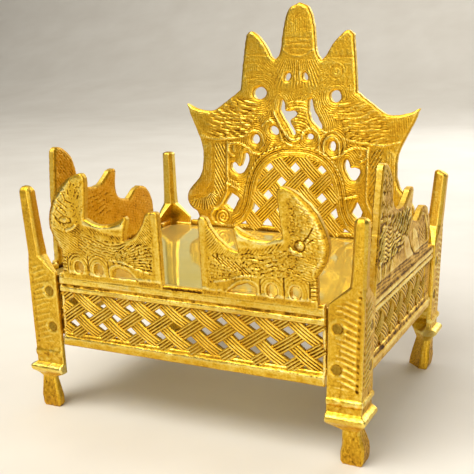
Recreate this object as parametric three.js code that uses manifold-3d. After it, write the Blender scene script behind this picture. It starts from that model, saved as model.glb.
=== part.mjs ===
import * as THREE from 'three';
import { mergeVertices } from 'three/addons/utils/BufferGeometryUtils.js';
import Module from 'manifold-3d';

// A small cast brass throne for a household shrine: four corner posts, four pierced panels
// riveted to them, and a loose seat plate. Millimetres, +Z up, front towards -Y, +X to the
// right of someone facing the front, origin on the floor under the middle of the throne.

const wasm = await Module();
wasm.setup();

// Overall sizes, taken over the outer faces of the posts at the datum height
const bodyWidth = 150;
const bodyDepth = 121.6;
const datumHeight = 30;
// Outward travel of the posts and panel frames for each unit of height
const wallLeanShare = 0.026;

// One overrun for every cut, and the clearances between pieces
const overrun = 1;
const pieceGap = 0.3;

// Corner post: an angle of two flanges with a bar, the finger, standing up from its corner
const flangeWidth = 14;
const flangeThickness = 2;
const flangeEdgeBevel = 0.4;
const fingerFootSize = 6.3;
const fingerSize = 5.9;
const fingerTipSize = 5.5;
const fingerBevel = 1.3;
const fingerSwell = 6;
const fingerTop = 97.7;
const fingerDome = 2;
const shoulderFoot = 63.8;
const shoulderTop = 71;
const innerFilletFoot = 62.8;
const fingerTipShares = [[0.35, 0.93], [0.7, 0.72], [1, 0.4]];

// Collar of two rings near the bottom of the post, with a hollow band between them
const upperRingTop = 27.2;
const upperRingHeight = 2.6;
const upperRingProud = 0.9;
const lowerRingTop = 20.4;
const lowerRingHeight = 3.2;
const lowerRingProud = 2.4;
const ringEdgeRise = 0.7;

// Foot: a hoof under a narrow neck
const neckHeight = 14;
const neckLeg = 7.8;
const neckInset = 0.9;
const hoofHeight = 5;
const hoofLeg = 9.4;
const soleLeg = 8.6;
const soleInset = 0.8;
const footInnerCutShare = 0.42;
const footFlatRise = 1.2;
const taperSwellShare = 0.62;

// Rivets: flush outside, with a hammered head inside
const rivetRadius = 1.9;
const rivetHoleGap = 0.25;
const rivetHeadRadius = 2.9;
const rivetHeadHeight = 1.3;
const rivetHeadCrown = 0.45;
const rivetFromFlangeEdge = 3.8;
const rivetHeights = { upper: 54.6, lower: 38.4 };
const rivetProud = 0.2;
const rivetSides = 12;
const holeSides = 16;

// Depths inward from the outer face of the flanges, shared by the four panels
const railInset = 0.6;
const webInset = 1.7;
const webThickness = 2;
const frameBackInset = 4.6;
const tabInset = flangeThickness + pieceGap;
const tabEndInset = 5.6;
const frameEndGap = 0.8;
const railGrooveDepth = 0.7;
const railGrooveHeight = 0.9;
const crestRoot = 2;

// Seat plate and the ledge cast inside each panel that carries it
const seatTop = 60.7;
const seatThickness = 1.3;
const seatSideGap = 0.5;
const seatCornerCut = 5;
const ledgeReach = 2.2;
const ledgeThickness = 1.6;

// Front and back frames, from the floor up
const frontFrame = {
  bottom: 30.3,
  lowerRailTop: 34.6,
  webBottom: 36.4,
  webTop: 54.6,
  grooveFoot: 57.4,
  railTop: 61.4,
  sillTop: 63,
};
// Side frames sit a little higher
const sideFrame = {
  bottom: 33.8,
  lowerRailTop: 38.2,
  webBottom: 40.6,
  webTop: 57,
  grooveFoot: 59.2,
  railTop: 62.4,
  sillTop: 63.6,
};

// Woven band: lozenge holes in three staggered rows
const bandPitch = 14.2;
const bandHoleWidth = 5;
const bandHoleHeight = 4;
const bandRowRise = 5;
const bandRows = 3;
const bandEndClear = 1.2;
const frontBandShift = 2.3;
const sideBandBackClear = 9.5;

// Front crest: two birds facing outward, with a doorway between them
const doorHalfWidth = 9;
const birdPostGap = 6.3;
const birdHeight = 46;
const frontCrestInset = 0.8;
const frontCrestThickness = 2.7;
const frontCrestLeanShare = 0.045;
const birdStretchShares = [
  [[0, 0], [0, 0.674]],
  [[0, 0.674], [0.022, 0.702], [0.06, 0.691]],
  [[0.06, 0.691], [0.112, 0.578], [0.187, 0.491], [0.255, 0.435], [0.315, 0.42]],
  [[0.315, 0.42], [0.298, 0.511], [0.277, 0.604], [0.292, 0.635]],
  [[0.292, 0.635], [0.365, 0.591], [0.459, 0.552], [0.552, 0.543], [0.652, 0.587]],
  [[0.652, 0.587], [0.648, 0.696], [0.629, 0.837], [0.624, 0.963]],
  [[0.624, 0.963], [0.655, 1], [0.74, 0.978], [0.833, 0.904], [0.918, 0.796], [0.974, 0.663],
    [1, 0.522], [0.974, 0.391], [0.91, 0.272]],
  [[0.91, 0.272], [0.91, 0]],
];
const birdArchShares = [[0.215, 0.061], [0.29, 0.122], [0.375, 0.157], [0.434, 0.122], [0.442, 0.061]];
const birdHoleShares = [[0.566, 0.117], [0.747, 0.122]];
const birdHoleWidth = 4.8;
const birdHoleHeight = 5.2;
const birdEyeShare = [0.796, 0.5];
const eyeBossWidth = 3;
const eyeRingWidth = 6;
const birdWingShares = [[0.33, 0.53], [0.45, 0.49], [0.6, 0.5], [0.72, 0.44], [0.66, 0.33], [0.5, 0.3],
  [0.38, 0.36]];
const birdNeckShares = [[0.67, 0.62], [0.66, 0.86], [0.72, 0.91], [0.82, 0.82], [0.9, 0.66], [0.92, 0.5],
  [0.8, 0.42], [0.72, 0.5]];
const reliefHeight = 0.7;

// Side crest: a peak at the front, a spike in the middle and a round lobe at the back
const sideCrestFrontClear = 15.8;
const sideCrestBackClear = 21.8;
const sideCrestHeight = 52.2;
const sideCrestInset = 1.5;
const sideCrestThickness = 2.7;
const sideCrestLeanShare = 0.004;
const sideStretchShares = [
  [[0, 0], [0.008, 0.455], [0.018, 0.739], [0.036, 0.972]],
  [[0.036, 0.972], [0.062, 1], [0.107, 0.985], [0.155, 0.936], [0.19, 0.871], [0.212, 0.777],
    [0.232, 0.682], [0.28, 0.614], [0.357, 0.583], [0.429, 0.587], [0.482, 0.629], [0.53, 0.686]],
  [[0.53, 0.686], [0.583, 0.701], [0.599, 0.667]],
  [[0.599, 0.667], [0.589, 0.578], [0.588, 0.492], [0.607, 0.432], [0.661, 0.394], [0.72, 0.379]],
  [[0.72, 0.379], [0.76, 0.417], [0.81, 0.458], [0.863, 0.466], [0.917, 0.436], [0.96, 0.369],
    [0.986, 0.284], [0.995, 0.17], [1, 0]],
];
const sideBodyShares = [[0.08, 0.4], [0.1, 0.8], [0.15, 0.84], [0.2, 0.6], [0.34, 0.5], [0.5, 0.52],
  [0.52, 0.36], [0.4, 0.24], [0.2, 0.22]];
const sideLeafShares = [[0.56, 0.36], [0.64, 0.32], [0.76, 0.18], [0.74, 0.09], [0.62, 0.14]];
const sideLobeShares = [[0.7, 0.31], [0.8, 0.39], [0.9, 0.37], [0.95, 0.26], [0.9, 0.16], [0.82, 0.2]];

// Back crest: a tall fan with three peaks, two wings and a lattice arch
const backCrestEndClear = 12;
const backCrestRise = 115;
const backCrestInset = 1.3;
const backCrestThickness = 2.7;
const backCrestLeanShare = 0.043;
const backStretchShares = [
  [[0.873, 0], [0.873, 0.043]],
  [[0.873, 0.043], [0.897, 0.062], [0.944, 0.078], [0.981, 0.104], [0.984, 0.143], [0.944, 0.178],
    [0.881, 0.217], [0.849, 0.252], [0.838, 0.304], [0.841, 0.348], [0.862, 0.391], [0.905, 0.443],
    [0.96, 0.504], [1, 0.561]],
  [[1, 0.561], [0.913, 0.539], [0.81, 0.529], [0.73, 0.535], [0.651, 0.565], [0.571, 0.596], [0.5, 0.626]],
  [[0.5, 0.626], [0.492, 0.678], [0.481, 0.748], [0.465, 0.826], [0.457, 0.865]],
  [[0.457, 0.865], [0.421, 0.881], [0.373, 0.872], [0.317, 0.843], [0.27, 0.809], [0.238, 0.778],
    [0.2, 0.757]],
  [[0.2, 0.757], [0.167, 0.778], [0.148, 0.809], [0.143, 0.843], [0.13, 0.896], [0.111, 0.943],
    [0.076, 0.981], [0, 1]],
];
// Round holes of the back crest: place, then width, height and tilt
const backRoundHoles = [
  { place: [-0.084, 0.684], width: 3, height: 4.2, tilt: -0.5 },
  { place: [0.068, 0.687], width: 2.6, height: 4, tilt: 0.45 },
  { place: [-0.325, 0.612], width: 7.4, height: 6.2, tilt: 0.3 },
  { place: [0.327, 0.604], width: 5.8, height: 6, tilt: 0 },
  { place: [-0.19, 0.45], width: 5.4, height: 4.2, tilt: -0.6 },
  { place: [0.121, 0.428], width: 3.8, height: 3, tilt: 0 },
  { place: [-0.356, 0.408], width: 4.6, height: 5.2, tilt: 0 },
  { place: [0.314, 0.39], width: 3.4, height: 5, tilt: 0 },
];
// Free-form holes of the back crest, each a closed curve
const backFreeHoleShares = [
  [[-0.454, 0.342], [-0.422, 0.339], [-0.41, 0.317], [-0.429, 0.283], [-0.468, 0.254], [-0.524, 0.248],
    [-0.568, 0.265], [-0.575, 0.29], [-0.544, 0.301], [-0.505, 0.283], [-0.476, 0.29], [-0.463, 0.317]],
  [[0.433, 0.336], [0.457, 0.32], [0.47, 0.301], [0.508, 0.303], [0.544, 0.294], [0.54, 0.27],
    [0.505, 0.248], [0.468, 0.252], [0.433, 0.278], [0.413, 0.309]],
  [[-0.127, 0.587], [-0.105, 0.57], [-0.098, 0.539], [-0.071, 0.536], [-0.019, 0.539], [0.006, 0.527],
    [-0.016, 0.511], [-0.051, 0.494], [-0.005, 0.446], [-0.024, 0.433], [-0.068, 0.471],
    [-0.114, 0.507], [-0.144, 0.535], [-0.143, 0.561]],
  [[0.105, 0.584], [0.129, 0.588], [0.148, 0.548], [0.184, 0.513], [0.222, 0.471], [0.2, 0.463],
    [0.13, 0.497], [0.11, 0.526], [0.102, 0.557]],
];
const backCornerHoleShares = [
  [[-0.568, 0.161], [-0.495, 0.135], [-0.552, 0.076], [-0.63, 0.104]],
  [[0.532, 0.157], [0.579, 0.113], [0.556, 0.07], [0.487, 0.104]],
];
// Lattice inside the arch: rows of lozenge holes from the top row down
const archPitch = 14.6;
const archRowRise = 7.4;
const archTopRow = 94.2;
const archHoleWidth = 4.4;
const archHoleHeight = 4.6;
const archRowCounts = [2, 3, 4, 3, 4];
// Raised band round the arch, its outer and inner edges
const archOuterShares = [[0, 0.37], [0.14, 0.36], [0.25, 0.325], [0.325, 0.27], [0.365, 0.2], [0.4, 0.12],
  [0.47, 0.05], [0.56, 0.02]];
const archInnerShares = [[0.5, 0.012], [0.43, 0.04], [0.37, 0.1], [0.34, 0.19], [0.3, 0.255],
  [0.225, 0.305], [0.12, 0.332], [0, 0.338]];
const scrollShare = [0.65, 0.045];
const scrollWidth = 9.6;
const columnPadShares = [[0.78, 0.06], [0.92, 0.1], [0.94, 0.14], [0.84, 0.2], [0.79, 0.28], [0.79, 0.38],
  [0.7, 0.38], [0.69, 0.28], [0.72, 0.16]];
const wingPadShares = [[0.42, 0.45], [0.8, 0.43], [0.95, 0.54], [0.8, 0.505], [0.68, 0.52], [0.5, 0.57],
  [0.42, 0.53]];

// Curve fineness
const stepsPerKnot = 2;
const holeCurveSteps = 12;

// Brass finishes
const castBrass = { color: 0xd9a531, roughness: 0.42, metalness: 1 };
const polishedBrass = { color: 0xd8bf63, roughness: 0.18, metalness: 1 };
const rivetBrass = { color: 0xb98a34, roughness: 0.5, metalness: 1 };

// Turns a closed geometry into a solid for cutting and joining.
function solidOf(geometry) {
  const bare = geometry.clone();
  bare.deleteAttribute('normal');
  bare.deleteAttribute('uv');
  const merged = mergeVertices(bare);
  const vertProperties = new Float32Array(merged.attributes.position.array);
  const triVerts = new Uint32Array(merged.index.array);
  return new wasm.Manifold(new wasm.Mesh({ numProp: 3, vertProperties, triVerts }));
}

// Turns a solid back into a geometry.
function geometryOf(solid) {
  const mesh = solid.getMesh();
  const geometry = new THREE.BufferGeometry();
  geometry.setAttribute('position', new THREE.BufferAttribute(new Float32Array(mesh.vertProperties), 3));
  geometry.setIndex(new THREE.BufferAttribute(new Uint32Array(mesh.triVerts), 1));
  geometry.computeVertexNormals();
  return geometry;
}

// The four walls. Panel space is along, up and outward; outward is zero at the flange faces.
const walls = {
  front: { along: [1, 0, 0], out: [0, -1, 0], half: bodyDepth / 2, span: bodyWidth },
  back: { along: [-1, 0, 0], out: [0, 1, 0], half: bodyDepth / 2, span: bodyWidth },
  left: { along: [0, -1, 0], out: [-1, 0, 0], half: bodyWidth / 2, span: bodyDepth },
  right: { along: [0, 1, 0], out: [1, 0, 0], half: bodyWidth / 2, span: bodyDepth },
};

// Outward travel of a wall or post at a height.
function leanAt(height) {
  return wallLeanShare * (height - datumHeight);
}

// Matrix from panel space to the throne, leaning with the wall.
function wallMatrix(wall) {
  const along = new THREE.Vector3(...wall.along);
  const out = new THREE.Vector3(...wall.out);
  const up = new THREE.Vector3(0, 0, 1).addScaledVector(out, wallLeanShare);
  const matrix = new THREE.Matrix4().makeBasis(along, up, out);
  return matrix.setPosition(out.clone().multiplyScalar(wall.half + leanAt(0)));
}

// Slab cut to an outline, between two depths inward from the flange faces.
function slab(shapes, faceInset, backInset) {
  const geometry = new THREE.ExtrudeGeometry(shapes, { depth: backInset - faceInset, bevelEnabled: false });
  return geometry.translate(0, 0, -backInset);
}

// Points of an outline: each stretch is a smooth curve, and stretches meet at corners.
function outlinePoints(stretches, toPanel) {
  const points = [toPanel(stretches[0][0])];
  for (const stretch of stretches) {
    const knots = stretch.map(toPanel);
    if (knots.length === 2) {
      points.push(knots[1]);
      continue;
    }
    const curve = new THREE.SplineCurve(knots);
    points.push(...curve.getPoints(knots.length * stepsPerKnot).slice(1));
  }
  return points;
}

// Closed smooth hole or pad through hand-placed points.
function closedCurve(shares, toPanel) {
  const knots = shares.map((share) => toPanel(share));
  const loop = [...knots.slice(-2), ...knots, ...knots.slice(0, 2)];
  const steps = (loop.length - 1) * stepsPerKnot;
  const points = new THREE.SplineCurve(loop).getPoints(steps);
  return points.slice(2 * stepsPerKnot, -stepsPerKnot - 1);
}

// Oval, turned by its tilt.
function oval(centre, width, height, tilt) {
  const { x, y } = centre;
  const curve = new THREE.EllipseCurve(x, y, width / 2, height / 2, 0, 2 * Math.PI, false, tilt);
  return curve.getPoints(holeCurveSteps).slice(0, -1);
}

// Lozenge with its long diagonals level and upright.
function lozenge(centre, width, height) {
  return [
    new THREE.Vector2(centre.x - width / 2, centre.y),
    new THREE.Vector2(centre.x, centre.y - height / 2),
    new THREE.Vector2(centre.x + width / 2, centre.y),
    new THREE.Vector2(centre.x, centre.y + height / 2),
  ];
}

// Upright rectangle.
function upright(left, right, bottom, top) {
  return [
    new THREE.Vector2(left, bottom),
    new THREE.Vector2(right, bottom),
    new THREE.Vector2(right, top),
    new THREE.Vector2(left, top),
  ];
}

// Solid slab with holes cut right through it.
function piercedSlab(outline, holes, faceInset, backInset) {
  let solid = solidOf(slab(new THREE.Shape(outline), faceInset, backInset));
  for (const hole of holes) {
    solid = solid.subtract(solidOf(slab(new THREE.Shape(hole), faceInset - overrun, backInset + overrun)));
  }
  return solid;
}

// Cross-section of a frame: rails, groove, web, sill and the inner ledge for the seat plate.
function frameProfile(frame, sillInset, sillBackInset) {
  const ledgeTop = seatTop - seatThickness - pieceGap;
  const webBack = webInset + webThickness;
  const grooveInset = railInset + railGrooveDepth;
  const grooveTop = frame.grooveFoot + railGrooveHeight;
  const outer = [
    [railInset, frame.bottom],
    [railInset, frame.lowerRailTop],
    [webInset, frame.webBottom],
    [webInset, frame.webTop],
    [railInset, frame.webTop],
    [railInset, frame.grooveFoot],
    [grooveInset, frame.grooveFoot],
    [grooveInset, grooveTop],
    [railInset, grooveTop],
    [railInset, frame.railTop],
    [sillInset, frame.sillTop],
  ];
  const inner = [
    [sillBackInset, frame.sillTop],
    [frameBackInset, ledgeTop + seatThickness],
    [frameBackInset, ledgeTop],
    [frameBackInset + ledgeReach, ledgeTop],
    [frameBackInset + ledgeReach, ledgeTop - ledgeThickness],
    [frameBackInset, ledgeTop - ledgeThickness - ledgeReach],
    [frameBackInset, frame.webTop],
    [webBack, frame.webTop],
    [webBack, frame.lowerRailTop],
    [frameBackInset, frame.lowerRailTop],
    [frameBackInset, frame.bottom],
  ];
  return new THREE.Shape([...outer, ...inner].map(([inset, up]) => new THREE.Vector2(-inset, up)));
}

// Frame of one wall in panel space: the profile run along the wall, with a tab at each end
// that goes behind the flange of the post.
function frameSolid(wall, frame, sillInset, sillBackInset) {
  const halfLength = wall.span / 2 - flangeWidth - frameEndGap;
  const profile = frameProfile(frame, sillInset, sillBackInset);
  const bar = new THREE.ExtrudeGeometry(profile, { depth: 2 * halfLength, bevelEnabled: false });
  const turn = new THREE.Matrix4().makeBasis(
    new THREE.Vector3(0, 0, 1),
    new THREE.Vector3(0, 1, 0),
    new THREE.Vector3(-1, 0, 0),
  );
  bar.applyMatrix4(turn);
  bar.translate(halfLength, 0, 0);
  const tabEnd = wall.span / 2 - tabEndInset;
  const inBar = halfLength - overrun;
  const middle = upright(-inBar, inBar, frame.lowerRailTop + overrun, frame.railTop - overrun);
  const tab = upright(-tabEnd, tabEnd, frame.lowerRailTop, frame.railTop);
  return solidOf(bar).add(piercedSlab(tab, [middle], tabInset, frameBackInset));
}

// Staggered lozenge holes of the woven band, between two ends.
function bandHoles(frame, band) {
  const { from, to, offset } = band;
  const holes = [];
  const middle = (from + to) / 2;
  const reach = (to - from) / 2 - bandEndClear - bandHoleWidth / 2;
  const centreRow = (frame.webBottom + frame.webTop) / 2;
  for (let row = 0; row < bandRows; row += 1) {
    const up = centreRow + (row - (bandRows - 1) / 2) * bandRowRise;
    const shift = offset + (row % 2 === 0 ? 0 : bandPitch / 2);
    const count = Math.ceil((reach + shift) / bandPitch);
    for (let step = -count; step <= count; step += 1) {
      const along = step * bandPitch + shift;
      const centre = { x: middle + along, y: up };
      if (Math.abs(along) <= reach) holes.push(lozenge(centre, bandHoleWidth, bandHoleHeight));
    }
  }
  return holes.map((hole) => new THREE.Shape(hole));
}

// Leans a solid outward from a height, in panel space.
function lean(solid, leanShare, foot) {
  const shear = new THREE.Matrix4().makeShear(0, 0, 0, leanShare, 0, 0);
  const geometry = geometryOf(solid).translate(0, -foot, 0).applyMatrix4(shear);
  return solidOf(geometry.translate(0, foot, 0));
}

// Joins a crest, with its raised pads, to its frame and cuts the woven band.
function panelSolid(wall, frame, crest, band) {
  const backInset = crest.inset + crest.thickness;
  const parts = [
    ...crest.plates.map(({ outline, holes }) => piercedSlab(outline, holes, crest.inset, backInset)),
    ...crest.outerPads.map(({ outline, holes }) => (
      piercedSlab(outline, holes, crest.inset - reliefHeight, crest.inset + overrun)
    )),
    ...crest.innerPads.map(({ outline, holes }) => (
      piercedSlab(outline, holes, backInset - overrun, backInset + reliefHeight)
    )),
  ];
  let solid = frameSolid(wall, frame, crest.inset, backInset);
  for (const part of parts) solid = solid.add(lean(part, crest.leanShare, frame.railTop));
  const cutter = slab(bandHoles(frame, band), railInset - overrun, frameBackInset + overrun);
  return solid.subtract(solidOf(cutter));
}

// Half a wall clear of the posts.
function frameHalfLength(wall) {
  return wall.span / 2 - flangeWidth - frameEndGap;
}

// Front panel: a bird on each side of the doorway.
function frontPanelSolid() {
  const half = frameHalfLength(walls.front);
  const birdLength = walls.front.span / 2 - fingerFootSize - birdPostGap - doorHalfWidth;
  const plates = [];
  const outerPads = [];
  for (const side of [-1, 1]) {
    const toPanel = ([along, up]) => new THREE.Vector2(
      side * (doorHalfWidth + along * birdLength),
      frontFrame.sillTop - crestRoot + up * birdHeight,
    );
    const holes = [birdArchShares.map(toPanel)];
    for (const share of birdHoleShares) holes.push(oval(toPanel(share), birdHoleWidth, birdHoleHeight, 0));
    plates.push({ outline: outlinePoints(birdStretchShares, toPanel), holes });
    const eye = toPanel(birdEyeShare);
    const eyeRing = oval(eye, eyeRingWidth, eyeRingWidth, 0);
    outerPads.push({ outline: closedCurve(birdWingShares, toPanel), holes: [] });
    outerPads.push({ outline: closedCurve(birdNeckShares, toPanel), holes: [eyeRing] });
    outerPads.push({ outline: oval(eye, eyeBossWidth, eyeBossWidth, 0), holes: [] });
  }
  const crest = {
    plates,
    outerPads,
    innerPads: [],
    inset: frontCrestInset,
    thickness: frontCrestThickness,
    leanShare: frontCrestLeanShare,
  };
  return panelSolid(walls.front, frontFrame, crest, { from: -half, to: half, offset: frontBandShift });
}

// Side panel: along runs from front to back on the right wall and the other way on the left.
function sidePanelSolid(wall, towardsBack) {
  const half = frameHalfLength(wall);
  const crestLength = wall.span - sideCrestFrontClear - sideCrestBackClear;
  const toPanel = ([along, up]) => new THREE.Vector2(
    towardsBack * (sideCrestFrontClear - wall.span / 2 + along * crestLength),
    sideFrame.sillTop - crestRoot + up * sideCrestHeight,
  );
  const padShares = [sideBodyShares, sideLeafShares, sideLobeShares];
  const crest = {
    plates: [{ outline: outlinePoints(sideStretchShares, toPanel), holes: [] }],
    outerPads: padShares.map((shares) => ({ outline: closedCurve(shares, toPanel), holes: [] })),
    innerPads: [],
    inset: sideCrestInset,
    thickness: sideCrestThickness,
    leanShare: sideCrestLeanShare,
  };
  const ends = [-half * towardsBack, (half - sideBandBackClear) * towardsBack];
  return panelSolid(wall, sideFrame, crest, { from: Math.min(...ends), to: Math.max(...ends), offset: 0 });
}

// Lozenge holes of the lattice arch.
function archHoles() {
  const holes = [];
  archRowCounts.forEach((count, row) => {
    for (let step = 0; step < count; step += 1) {
      const along = (step - (count - 1) / 2) * archPitch;
      const centre = { x: along, y: archTopRow - row * archRowRise };
      holes.push(lozenge(centre, archHoleWidth, archHoleHeight));
    }
  });
  return holes;
}

// Back panel: seen from the front, so along is turned over to keep left and right in place.
function backPanelSolid() {
  const half = frameHalfLength(walls.back);
  const reach = walls.back.span / 2 - backCrestEndClear;
  const place = (side) => ([along, up]) => new THREE.Vector2(
    -side * along * reach,
    frontFrame.sillTop - crestRoot + up * backCrestRise,
  );
  const seen = place(1);
  const halfOutline = outlinePoints(backStretchShares, seen);
  const otherHalf = outlinePoints(backStretchShares, place(-1)).reverse();
  const holes = [
    ...backRoundHoles.map((hole) => oval(seen(hole.place), hole.width, hole.height, -hole.tilt)),
    ...backFreeHoleShares.map((shares) => closedCurve(shares, seen)),
    ...backCornerHoleShares.map((shares) => shares.map(seen)),
    ...archHoles(),
  ];
  const innerPads = [];
  for (const side of [-1, 1]) {
    const toSide = place(side);
    const padOutlines = [
      [archOuterShares, archInnerShares].flatMap((shares) => outlinePoints([shares], toSide)),
      oval(toSide(scrollShare), scrollWidth, scrollWidth, 0),
      closedCurve(columnPadShares, toSide),
      closedCurve(wingPadShares, toSide),
    ];
    for (const outline of padOutlines) innerPads.push({ outline, holes: [] });
  }
  const crest = {
    plates: [{ outline: [...halfOutline, ...otherHalf.slice(1)], holes }],
    outerPads: [],
    innerPads,
    inset: backCrestInset,
    thickness: backCrestThickness,
    leanShare: backCrestLeanShare,
  };
  return panelSolid(walls.back, frontFrame, crest, { from: -half, to: half, offset: 0 });
}

// One level of a post, in corner space: two legs running inward from the outer corner.
function postRing(level) {
  const { leg, thickness, inner, proud, bevel } = level;
  const legBevel = Math.min(bevel, thickness / 2);
  return [
    [-proud + bevel, -proud],
    [leg - legBevel, -proud],
    [leg, -proud + legBevel],
    [leg, thickness],
    [inner, inner],
    [thickness, leg],
    [-proud + legBevel, leg],
    [-proud, leg - legBevel],
    [-proud, -proud + bevel],
  ];
}

// Levels of a post from the sole to the tip of the finger.
function postLevels() {
  const flange = {
    leg: flangeWidth,
    thickness: flangeThickness,
    inner: flangeThickness,
    proud: 0,
    bevel: flangeEdgeBevel,
  };
  const ringed = (proud) => ({ ...flange, proud });
  const footLevel = (height, leg, inset) => ({
    height,
    leg,
    thickness: leg * footInnerCutShare,
    inner: (leg + leg * footInnerCutShare) / 2,
    proud: -inset,
    bevel: flangeEdgeBevel,
  });
  const lowerRingFoot = lowerRingTop - lowerRingHeight;
  const upperRingFoot = upperRingTop - upperRingHeight;
  const taperMiddle = (neckHeight + lowerRingFoot) / 2;
  const taperLeg = neckLeg + (flangeWidth - neckLeg) * taperSwellShare;
  const fingerLevel = (height, size) => ({
    height,
    leg: size,
    thickness: size - fingerBevel,
    inner: size - fingerBevel / 2,
    proud: 0,
    bevel: fingerBevel,
  });
  return [
    footLevel(0, soleLeg, soleInset),
    footLevel(footFlatRise, hoofLeg, soleInset / 2),
    footLevel(hoofHeight, hoofLeg, 0),
    footLevel((hoofHeight + neckHeight) / 2, (hoofLeg + neckLeg) / 2, neckInset / 2),
    footLevel(neckHeight, neckLeg, neckInset),
    footLevel(taperMiddle, taperLeg, 0),
    { ...ringed(lowerRingProud - ringEdgeRise), height: lowerRingFoot },
    { ...ringed(lowerRingProud), height: lowerRingFoot + ringEdgeRise },
    { ...ringed(lowerRingProud), height: lowerRingTop - ringEdgeRise },
    { ...ringed(lowerRingProud - ringEdgeRise), height: lowerRingTop },
    { ...flange, height: lowerRingTop + ringEdgeRise },
    { ...flange, height: upperRingFoot - ringEdgeRise },
    { ...ringed(upperRingProud), height: upperRingFoot },
    { ...ringed(upperRingProud), height: upperRingTop - ringEdgeRise },
    { ...flange, height: upperRingTop },
    { ...flange, height: innerFilletFoot },
    { ...flange, height: shoulderFoot, inner: flangeThickness + (shoulderFoot - innerFilletFoot) / 2 },
    fingerLevel(shoulderTop, fingerFootSize),
    fingerLevel(shoulderTop + fingerSwell, fingerSize),
    fingerLevel(fingerTop - fingerDome, fingerTipSize),
  ];
}

// Puts a ring point of a post in the throne; the shrink draws it to the middle of the finger.
function postPoint([inwardX, inwardY], height, corner, shrinkShare) {
  const middle = fingerTipSize / 2;
  const x = middle + (inwardX - middle) * shrinkShare;
  const y = middle + (inwardY - middle) * shrinkShare;
  return new THREE.Vector3(
    corner.x * (bodyWidth / 2 + leanAt(height) - x),
    corner.y * (bodyDepth / 2 + leanAt(height) - y),
    height,
  );
}

// Skins a stack of rings and closes both ends; flipped when the corner mirrors the rings.
function loft(rings, flipped) {
  const count = rings[0].length;
  const positions = rings.flat().flatMap((point) => point.toArray());
  const index = [];
  const face = (a, b, c) => index.push(...(flipped ? [a, c, b] : [a, b, c]));
  for (let level = 0; level + 1 < rings.length; level += 1) {
    for (let step = 0; step < count; step += 1) {
      const next = (step + 1) % count;
      const low = level * count;
      const high = low + count;
      face(low + step, low + next, high + next);
      face(low + step, high + next, high + step);
    }
  }
  const flat = (ring) => ring.map((point) => new THREE.Vector2(point.x, point.y));
  const top = (rings.length - 1) * count;
  const mirror = flipped ? -1 : 1;
  const levelRing = (ring) => flat(ring).map((point) => new THREE.Vector2(point.x * mirror, point.y));
  for (const [a, b, c] of THREE.ShapeUtils.triangulateShape(levelRing(rings[0]), [])) face(a, c, b);
  for (const [a, b, c] of THREE.ShapeUtils.triangulateShape(levelRing(rings.at(-1)), [])) {
    face(top + a, top + b, top + c);
  }
  const geometry = new THREE.BufferGeometry();
  geometry.setAttribute('position', new THREE.Float32BufferAttribute(positions, 3));
  geometry.setIndex(index);
  return geometry;
}

// Where a rivet goes through a flange: the end is -1 or 1 along the wall.
function rivetPlace(wall, end, height) {
  const along = wall.span / 2 - flangeWidth + rivetFromFlangeEdge + leanAt(height);
  return new THREE.Vector3(...wall.along)
    .multiplyScalar(end * along)
    .addScaledVector(new THREE.Vector3(...wall.out), wall.half + leanAt(height))
    .setZ(height);
}

// Turns a shape lying along +Z so that it points out of a wall.
function pointOut(geometry, wall) {
  const turn = new THREE.Quaternion().setFromUnitVectors(
    new THREE.Vector3(0, 0, 1),
    new THREE.Vector3(...wall.out),
  );
  return geometry.applyQuaternion(turn);
}

// Every rivet: its wall, the end of the wall it holds and its level.
function rivetList() {
  const list = [];
  for (const [wallName, wall] of Object.entries(walls)) {
    for (const end of [-1, 1]) {
      for (const [level, height] of Object.entries(rivetHeights)) {
        list.push({ wallName, wall, level, end, place: rivetPlace(wall, end, height) });
      }
    }
  }
  return list;
}
const rivets = rivetList();

// Name of the side that an end of a wall faces.
function endName(wall, end) {
  const [alongX, alongY] = wall.along;
  if (alongX !== 0) return alongX * end < 0 ? 'left' : 'right';
  return alongY * end < 0 ? 'front' : 'back';
}

// Rivet hole through a flange and the tab behind it.
function rivetHole(rivet) {
  const length = frameBackInset + 2 * overrun;
  const radius = rivetRadius + rivetHoleGap;
  const bore = new THREE.CylinderGeometry(radius, radius, length, holeSides);
  bore.rotateX(Math.PI / 2);
  bore.translate(0, 0, overrun - length / 2);
  return solidOf(pointOut(bore, rivet.wall).translate(...rivet.place.toArray()));
}

// Rivet: shank flush with the flange, and a low crowned head inside the tab.
function rivetGeometry(rivet) {
  const headSeat = -frameBackInset - pieceGap;
  const headEnd = headSeat - rivetHeadHeight;
  const profile = [
    new THREE.Vector2(0, headEnd),
    new THREE.Vector2(rivetHeadRadius - rivetHeadCrown, headEnd),
    new THREE.Vector2(rivetHeadRadius, headEnd + rivetHeadCrown),
    new THREE.Vector2(rivetHeadRadius, headSeat),
    new THREE.Vector2(rivetRadius, headSeat),
    new THREE.Vector2(rivetRadius, rivetProud),
    new THREE.Vector2(0, rivetProud),
  ];
  const shank = new THREE.LatheGeometry(profile, rivetSides);
  shank.rotateX(Math.PI / 2);
  return geometryOf(solidOf(pointOut(shank, rivet.wall)));
}

// Cuts the rivet holes that belong to one piece.
function cutRivetHoles(solid, belongs) {
  let cut = solid;
  for (const rivet of rivets.filter(belongs)) cut = cut.subtract(rivetHole(rivet));
  return cut;
}

// Corner post with its rivet holes.
function postSolid(corner) {
  const levels = postLevels();
  const ringOf = (level, height, share) => postRing(level).map((point) => postPoint(point, height, corner, share));
  const rings = levels.map((level) => ringOf(level, level.height, 1));
  for (const [riseShare, sizeShare] of fingerTipShares) {
    rings.push(ringOf(levels.at(-1), fingerTop - fingerDome * (1 - riseShare), sizeShare));
  }
  const solid = solidOf(loft(rings, corner.x * corner.y < 0));
  const near = (rivet) => Math.sign(rivet.place.x) === corner.x && Math.sign(rivet.place.y) === corner.y;
  return cutRivetHoles(solid, near);
}

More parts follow.
